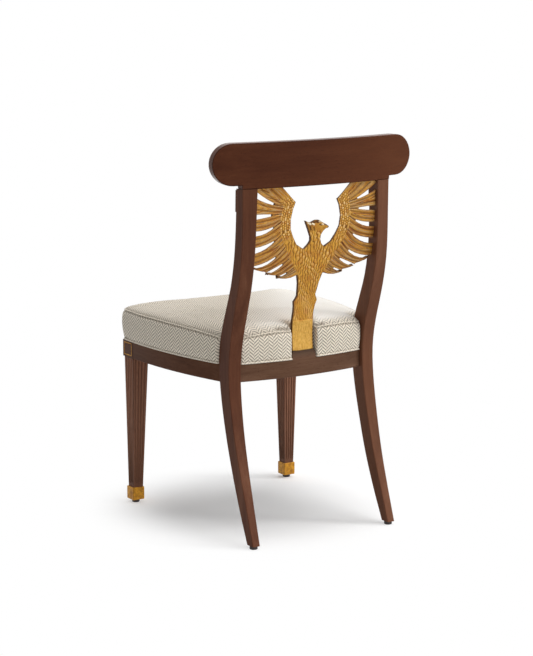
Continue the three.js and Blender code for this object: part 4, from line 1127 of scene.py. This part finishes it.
def weave_rows(mesh):
    """Where the cloth's threads lie: each corner's run along and across the herringbone."""
    place = points_of(mesh)
    _, run, whole, _ = seam_distance(place)
    corners = read_from(mesh.loops, "vertex_index", kind=int)
    faces = read_from(mesh.polygons, "loop_start", kind=int)
    sizes = read_from(mesh.polygons, "loop_total", kind=int)
    normals = read_from(mesh.polygons, "normal", 3).reshape(-1, 3)
    face_of = np.repeat(np.arange(len(faces)), sizes)
    under_seam = np.bincount(face_of, (place[:, 2] - seam_level(place))[corners]) / sizes
    boxing = (under_seam < 0) & (np.abs(normals[:, 2]) < 0.75)
    first_run = run[corners[faces]][face_of]
    along = run[corners]
    along = along - np.round((along - first_run) / whole) * whole
    side = boxing[face_of]
    rows = np.zeros((len(corners), 3), np.float32)
    rows[:, 0] = np.where(side, along, place[corners, 0])
    rows[:, 1] = np.where(side, place[corners, 2], place[corners, 1])
    attribute = mesh.attributes.new("weave", "FLOAT_VECTOR", "CORNER")
    attribute.data.foreach_set("vector", rows.ravel())


# The cloth: cream and taupe yarns in columns of chevrons, each column 12 mm wide
column_width = 0.0119
rib_pitch = 0.0079
rib_slope = 0.84
rib_edge = (0.10, 0.74)
yarn_pitch = 0.0019
loose_sway = 0.0011
cream = (0.97, 0.890, 0.755, 1)
cream_shade = (0.88, 0.790, 0.655, 1)
cream_glare = (0.99, 0.955, 0.895, 1)
taupe = (0.060, 0.036, 0.017, 1)
crease_shade = (0.155, 0.118, 0.078, 1)
glare_share, crease_share = 0.92, 0.8
cloth_sheen = dict(Sheen_Weight=0.34, Sheen_Roughness=0.45)
cloth_relief = (0.5, 0.0005)


def herringbone_effect():
    """Herringbone at a place on the cloth: how much dark rib shows, the yarns and their relief."""
    group, shading, place, out = new_effect("Herringbone weave", "Rib", "Yarn", "Relief")
    calc = shading.calc
    parts = shading.node("SeparateXYZ", place).outputs
    sway = calc("MULTIPLY_ADD", shading.noise(place, 160, 2), loose_sway, -loose_sway / 2)
    across = calc("ADD", parts[0], sway)
    zigzag = calc("PINGPONG", across, column_width)
    column = calc("FLOOR", calc("DIVIDE", across, column_width))
    turned = calc("MULTIPLY", calc("MODULO", column, 2.0), 0.5)
    climb = calc("ADD", calc("ADD", parts[1], sway), calc("MULTIPLY", zigzag, rib_slope))
    phase = calc("ADD", calc("DIVIDE", climb, rib_pitch), turned)
    rib = shading.ranged(calc("SINE", calc("MULTIPLY", phase, 2 * math.pi)), *rib_edge)
    twill = calc("MULTIPLY", calc("SUBTRACT", parts[1], zigzag), 2 * math.pi / yarn_pitch)
    yarn = shading.ranged(calc("SINE", twill), -1, 1)
    fuzz = shading.noise(place, 900, 3)
    dark = calc("MULTIPLY", rib, shading.ranged(fuzz, 0.25, 0.75, 0.62, 1.0))
    raised = calc("ADD", calc("MULTIPLY", yarn, 0.3), fuzz)
    shading.feed(out, Rib=dark, Yarn=yarn, Relief=calc("ADD", calc("MULTIPLY", rib, -0.6), raised))
    return group


herringbone = herringbone_effect()


def herringbone_cloth(name, rib_share):
    """The cover cloth; rib_share says how plainly its dark ribs show."""
    material, shading, skin = new_material(name)
    place = shading.node("Attribute", attribute_name="weave").outputs["Vector"]
    weave = shading.effect(herringbone, place)
    cloth = shading.mixed(weave["Yarn"], cream_shade, cream)
    cloth = shading.toned(cloth, weave["Rib"], rib_share, taupe)
    # Painted highlight on the top, and painted shade in the creases
    cloth = shading.toned(cloth, "flat", glare_share, cream_glare)
    cloth = shading.toned(cloth, "crease", crease_share, crease_shade)
    shading.feed(skin, Base_Color=cloth, Roughness=0.92, Specular_IOR_Level=0.2, **cloth_sheen)
    shading.bumped(skin, weave["Relief"], *cloth_relief)
    return material


cloth = herringbone_cloth("Cream and taupe herringbone", 0.9)
cushion_mesh, cushion_masks = sewn_cushion()
weave_rows(cushion_mesh)
cushion = finished("seat_cushion", cushion_mesh, cloth, sharp=80)
marked(cushion, **cushion_masks)
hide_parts("seat_cover", "seat_foam")

# ---------------------------------------------------------------------------------------------
# Seams and welt: the top seam stands up as a narrow ridge of turned cloth, topstitched, and a
# self welt of the same cloth over a cord closes the bottom of the boxing, right on the rails.
welt_radius = 0.0022
welt_height = 0.4084
ridge_radius = 0.0013
ridge_lift = 0.0008
seam_length = 2.1
stitch_pitch = 0.0052
stitch_length = 0.0034
stitch_radius = 0.00038
stitch_rise = 0.0042
stitch_sides = 5
stitch_rings = (-0.5, -0.25, 0, 0.25, 0.5)
thread_colour = (0.74, 0.69, 0.60, 1)
thread_shade = (0.52, 0.47, 0.39, 1)
# The turned cloth shows little of its dark rib: a painted highlight on the welt and the seam's
# ridge
rolled_cloth = herringbone_cloth("Herringbone turned over a cord", 0.38)


def directions_along(line):
    """The direction of a closed line at each of its points."""
    ahead = np.roll(line, -1, 0) - np.roll(line, 1, 0)
    return ahead / np.linalg.norm(ahead, axis=1)[:, None]


def rolled_piece(name, centres, radius, sides):
    """Cloth turned over a cord: a closed tube round a closed line of centres."""
    up = np.array([0, 0, 1.0])
    out = np.cross(directions_along(centres), up)
    out /= np.linalg.norm(out, axis=1)[:, None]
    angles = [2 * math.pi * k / sides for k in range(sides)]
    mesh = loft_mesh(name, [centres + out * radius * math.cos(angle) + up * radius * math.sin(angle)
                            for angle in angles], tube=True)
    weave_rows(mesh)
    return finished(name, mesh, rolled_cloth, sharp=80)


def seam_line(step):
    """The top seam on the cushion's surface, with the surface's direction out of it."""
    plan = even_ring(seam_plan(step), int(seam_length / step))
    found = [cushion_tree.find_nearest(Vector((x, y, z)))
             for (x, y), z in zip(plan, seam_level(plan))]
    places = np.array([tuple(f[0]) for f in found])
    normals = np.array([tuple(f[1]) for f in found])
    for _ in range(3):
        places = (np.roll(places, 1, 0) + 2 * places + np.roll(places, -1, 0)) / 4
        normals = (np.roll(normals, 1, 0) + 2 * normals + np.roll(normals, -1, 0)) / 4
    return places, normals / np.linalg.norm(normals, axis=1)[:, None]


welt_plan = seat_line(welt_height, cover_proud - welt_radius / 2, leg_gap + welt_radius,
                      step=0.0035, notch_round=0.004)
welt_line = np.column_stack([welt_plan, np.full(len(welt_plan), welt_height)])
welt = rolled_piece("seat_welt_sewn", welt_line, welt_radius, 12)
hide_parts("seat_welt")
cushion_tree = BVHTree.FromObject(cushion, bpy.context.evaluated_depsgraph_get())
seam_places, seam_normals = seam_line(0.004)
rolled_piece("seat_seam_ridge", seam_places + seam_normals * ridge_lift, ridge_radius, 8)


def thread_material():
    material, shading, skin = new_material("Cream thread")
    twist = shading.noise(shading.stretched(), 1500, 2)
    shading.feed(skin, Base_Color=shading.mixed(twist, thread_colour, thread_shade), Roughness=0.8)
    shading.bumped(skin, twist, 0.3, 0.0002)
    return material


def stitches():
    """One row of stitches above the seam: short threads that dip into the cloth at their ends."""
    places, normals = seam_line(stitch_pitch)
    points, faces = [], []
    n = stitch_sides
    for place, normal, along in zip(places, normals, directions_along(places)):
        above = np.cross(along, normal)
        above *= np.sign(above[2])
        hit = cushion_tree.find_nearest(Vector(place + above * stitch_rise))
        base, normal = np.array(hit[0]), np.array(hit[1])
        side = np.cross(along, normal)
        first = len(points)
        for t in stitch_rings:
            centre = (base + along * stitch_length * t
                      + normal * (stitch_radius * (0.6 - 4.4 * t * t)))
            for angle in (2 * math.pi * k / n for k in range(n)):
                points.append(centre + stitch_radius * (side * math.cos(angle)
                                                        + normal * math.sin(angle)))
        last = first + n * (len(stitch_rings) - 1)
        for low in range(first, last, n):
            faces += [(low + k, low + (k + 1) % n, low + n + (k + 1) % n, low + n + k)
                      for k in range(n)]
        faces.append(tuple(first + k for k in reversed(range(n))))
        faces.append(tuple(last + k for k in range(n)))
    mesh = outward_mesh("seat_stitches", [tuple(p) for p in points], faces)
    finished("seat_stitches", mesh, thread_material(), sharp=80)


stitches()

# ---------------------------------------------------------------------------------------------
# Bottom cloth: black cambric stretched under the seat board and stapled along its edge. It is a
# single flat sheet, a little slack in the middle.
cambric_black = (0.012, 0.0115, 0.011, 1)
cambric_grey = (0.034, 0.032, 0.030, 1)
thread_scale = 420
cloth_height = 0.4056
cloth_thickness = 0.0007
cloth_slack = 0.00025
edge_steps = 12
cloth_rings = (1, 0.985, 0.95, 0.85, 0.7, 0.5, 0.3, 0.12)


def cambric():
    material, shading, skin = new_material("Black cambric")
    place = shading.stretched()
    threads = []
    for direction in ("X", "Y"):
        threads.append(shading.node("TexWave", place, thread_scale, wave_type="BANDS",
                                    bands_direction=direction).outputs["Fac"])
    weave = shading.calc("MULTIPLY", *threads)
    shading.feed(skin, Base_Color=shading.mixed(weave, cambric_black, cambric_grey), Roughness=0.95)
    shading.bumped(skin, weave, 0.4, 0.0003)
    return material


def bottom_cloth():
    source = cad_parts["dust_cover"].data
    corners = sorted({(round(v.co.x, 6), round(v.co.y, 6)) for v in source.vertices},
                     key=lambda p: math.atan2(p[1] + 0.05, p[0]))
    edge = [(a[0] + (b[0] - a[0]) * k / edge_steps, a[1] + (b[1] - a[1]) * k / edge_steps)
            for a, b in zip(corners, corners[1:] + corners[:1]) for k in range(edge_steps)]
    middle_y = sum(y for _, y in edge) / len(edge)
    level = cloth_height + cloth_thickness / 2 - 0.0003
    shape = bmesh.new()
    rings = []
    for share in cloth_rings:
        ring = []
        for x, y in edge:
            px, py = x * share, middle_y + (y - middle_y) * share
            sag = cloth_slack * math.sin(px * 95 + 1.3) * math.sin(py * 70) * (1 - share)
            ring.append(shape.verts.new((px, py, level + sag)))
        rings.append(ring)
    for outer, inner in zip(rings[:-1], rings[1:]):
        for i in range(len(edge)):
            j = (i + 1) % len(edge)
            shape.faces.new((outer[i], outer[j], inner[j], inner[i]))
    shape.faces.new(rings[-1])
    bmesh.ops.recalc_face_normals(shape, faces=shape.faces)
    area = sum(face.calc_area() for face in shape.faces)
    bmesh.ops.solidify(shape, geom=shape.faces[:], thickness=cloth_thickness * 0.6)
    mesh = bpy.data.meshes.new("bottom_cloth")
    shape.to_mesh(mesh)
    shape.free()
    piece = finished("bottom_cloth", mesh, cambric())
    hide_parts("dust_cover")


bottom_cloth()

# ---------------------------------------------------------------------------------------------
# Under the seat: a plywood seat board, four beech corner blocks, beech dowels in the joints, and
# zinc plated screws. They stay unfinished, as on any upholstered chair.
beech_tones = ((0.36, 0.205, 0.09, 1), (0.56, 0.36, 0.185, 1))
beech_fleck = (0.24, 0.125, 0.05, 1)
steel_light = (0.42, 0.41, 0.385, 1)
steel_dark = (0.24, 0.235, 0.225, 1)


def bare_wood(name, stretch):
    material, shading, skin = new_material(name)
    grain = shading.effect(wood_grain, shading.stretched(stretch))
    wood = shading.ramp(grain["Tone"], (0.15, 0.85), beech_tones)
    shading.feed(skin, Base_Color=shading.toned(wood, grain["Pores"], 0.6, beech_fleck),
                 Roughness=0.72)
    shading.bumped(skin, grain["Relief"], 0.2, 0.0002)
    return material


def plated_steel():
    material, shading, skin = new_material("Zinc plated steel")
    spangle = shading.noise(shading.stretched(), 600, 3)
    shading.feed(skin, Base_Color=shading.mixed(spangle, steel_dark, steel_light), Metallic=1.0,
                 Roughness=shading.ranged(spangle, 0.2, 0.8, 0.28, 0.5))
    shading.bumped(skin, spangle, 0.1, 0.0002)
    return material


beech = bare_wood("Bare beech and plywood", (0.05, 1, 1))
zinc = plated_steel()
for name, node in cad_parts.items():
    wooden = name.startswith(("seat_board", "corner_block", "dowel_"))
    if wooden or "_screw_" in name:
        node.data.materials.clear()
        node.data.materials.append(beech if wooden else zinc)

# ---------------------------------------------------------------------------------------------
# Studio: a white floor and backdrop that keep the chair's soft shadow, a broad light overhead, a
# softer one from the right, a small lower one beside it, and a camera behind the chair.
floor_half = 150
floor_lift = 0.05
floor_albedo = 0.98
floor_bounce = 0.66
pool_centre = (-0.015, -0.04, 0)
pool_reach = (0.21, 0.44)
sky_level = 0.205
sky_lean = 0.5
sky_toward = (-0.40, 0.05, 0.90)
# Lights: where each comes from, its level (1 lights a white face fully) and its spread
lights = {
    "light_overhead": ((-0.11, 0.0, 1.0), 0.45, 42),
    "light_key": ((-0.620, 0.780, 0.80), 0.47, 60),
    "light_rim": ((-0.820, 0.570, 0.56), 0.15, 12),
}
camera_place = (2.448976, 3.851415, 1.307575)
camera_azimuth, camera_pitch = math.radians(147.4606), math.radians(10.6528)
camera_lens, camera_sensor = 107.3, 36


def seen_as_itself(shading):
    """1 for what the camera, a mirror or glass looks at, and 0 for the light that it gives."""
    path = shading.node("LightPath").outputs
    mirrored = shading.calc("MAXIMUM", path["Is Camera Ray"], path["Is Glossy Ray"])
    return shading.calc("MAXIMUM", mirrored, path["Is Transmission Ray"])


def studio_floor():
    """Diffuse near the chair, so that its shadow shows, and plain white further out."""
    material = bpy.data.materials.new("Studio white")
    material.use_nodes = True
    shading = Shading(material.node_tree)
    shading.nodes.clear()

    def shader(kind, *inputs):
        return shading.node(kind, *inputs).outputs[0]

    plain, shaded = (shader("BsdfDiffuse", (level, level, level, 1))
                     for level in (floor_bounce, floor_albedo))
    lit = shader("AddShader", shaded, shader("Emission", None, floor_lift))
    where = shading.node("TexCoord").outputs["Object"]
    pool = shading.node("VectorMath", where, pool_centre, operation="DISTANCE").outputs["Value"]
    paling = shading.node("MapRange", pool, *pool_reach, interpolation_type="SMOOTHSTEP")
    paled = shader("MixShader", paling.outputs[0], lit, shader("Emission"))
    floor_face = shader("MixShader", seen_as_itself(shading), plain, paled)
    # From below the floor is clear, so that the underside of the chair can be looked at
    below = shading.node("NewGeometry").outputs["Backfacing"]
    surface = shader("MixShader", below, floor_face, shader("BsdfTransparent"))
    shading.feed(shading.node("OutputMaterial"), Surface=surface)
    mesh = bpy.data.meshes.new("studio_floor")
    corners = [(x * floor_half, y * floor_half, 0) for x, y in ((-1, -1), (1, -1), (1, 1), (-1, 1))]
    mesh.from_pydata(corners, [], [(0, 1, 2, 3)])
    mesh.materials.append(material)
    linked("studio_floor", mesh)


def studio_sky():
    """White where it is seen, and a soft light that leans to one side where it lights."""
    world = bpy.data.worlds.new("Studio")
    bpy.context.scene.world = world
    world.use_nodes = True
    shading = Shading(world.node_tree)
    shading.nodes.clear()
    where = shading.node("TexCoord").outputs["Generated"]
    lean = shading.node("VectorMath", where, Vector(sky_toward).normalized(),
                        operation="DOT_PRODUCT").outputs["Value"]
    level = shading.calc("MULTIPLY_ADD", lean, sky_level * sky_lean, sky_level)
    light, white = (shading.node("Background", (1, 1, 1, 1), strength).outputs[0]
                    for strength in (level, 1.0))
    choose = shading.node("MixShader", seen_as_itself(shading), light, white)
    shading.feed(shading.node("OutputWorld"), Surface=choose.outputs[0])


studio_floor()
studio_sky()
for name, (toward, level, spread) in lights.items():
    sun = bpy.data.lights.new(name, "SUN")
    sun.energy, sun.angle = level * math.pi, math.radians(spread)
    linked(name, sun).rotation_euler = Vector(toward).to_track_quat("Z", "Y").to_euler()

camera_data = bpy.data.cameras.new("camera")
camera_data.sensor_width, camera_data.lens = camera_sensor, camera_lens
camera = linked("camera", camera_data)
camera.location = camera_place
behind = Vector((math.sin(camera_azimuth) * math.cos(camera_pitch),
                 -math.cos(camera_azimuth) * math.cos(camera_pitch), math.sin(camera_pitch)))
camera.rotation_mode = "QUATERNION"
camera.rotation_quaternion = behind.to_track_quat("Z", "Y")
bpy.context.scene.camera = camera
bpy.context.scene.view_settings.view_transform = "Standard"
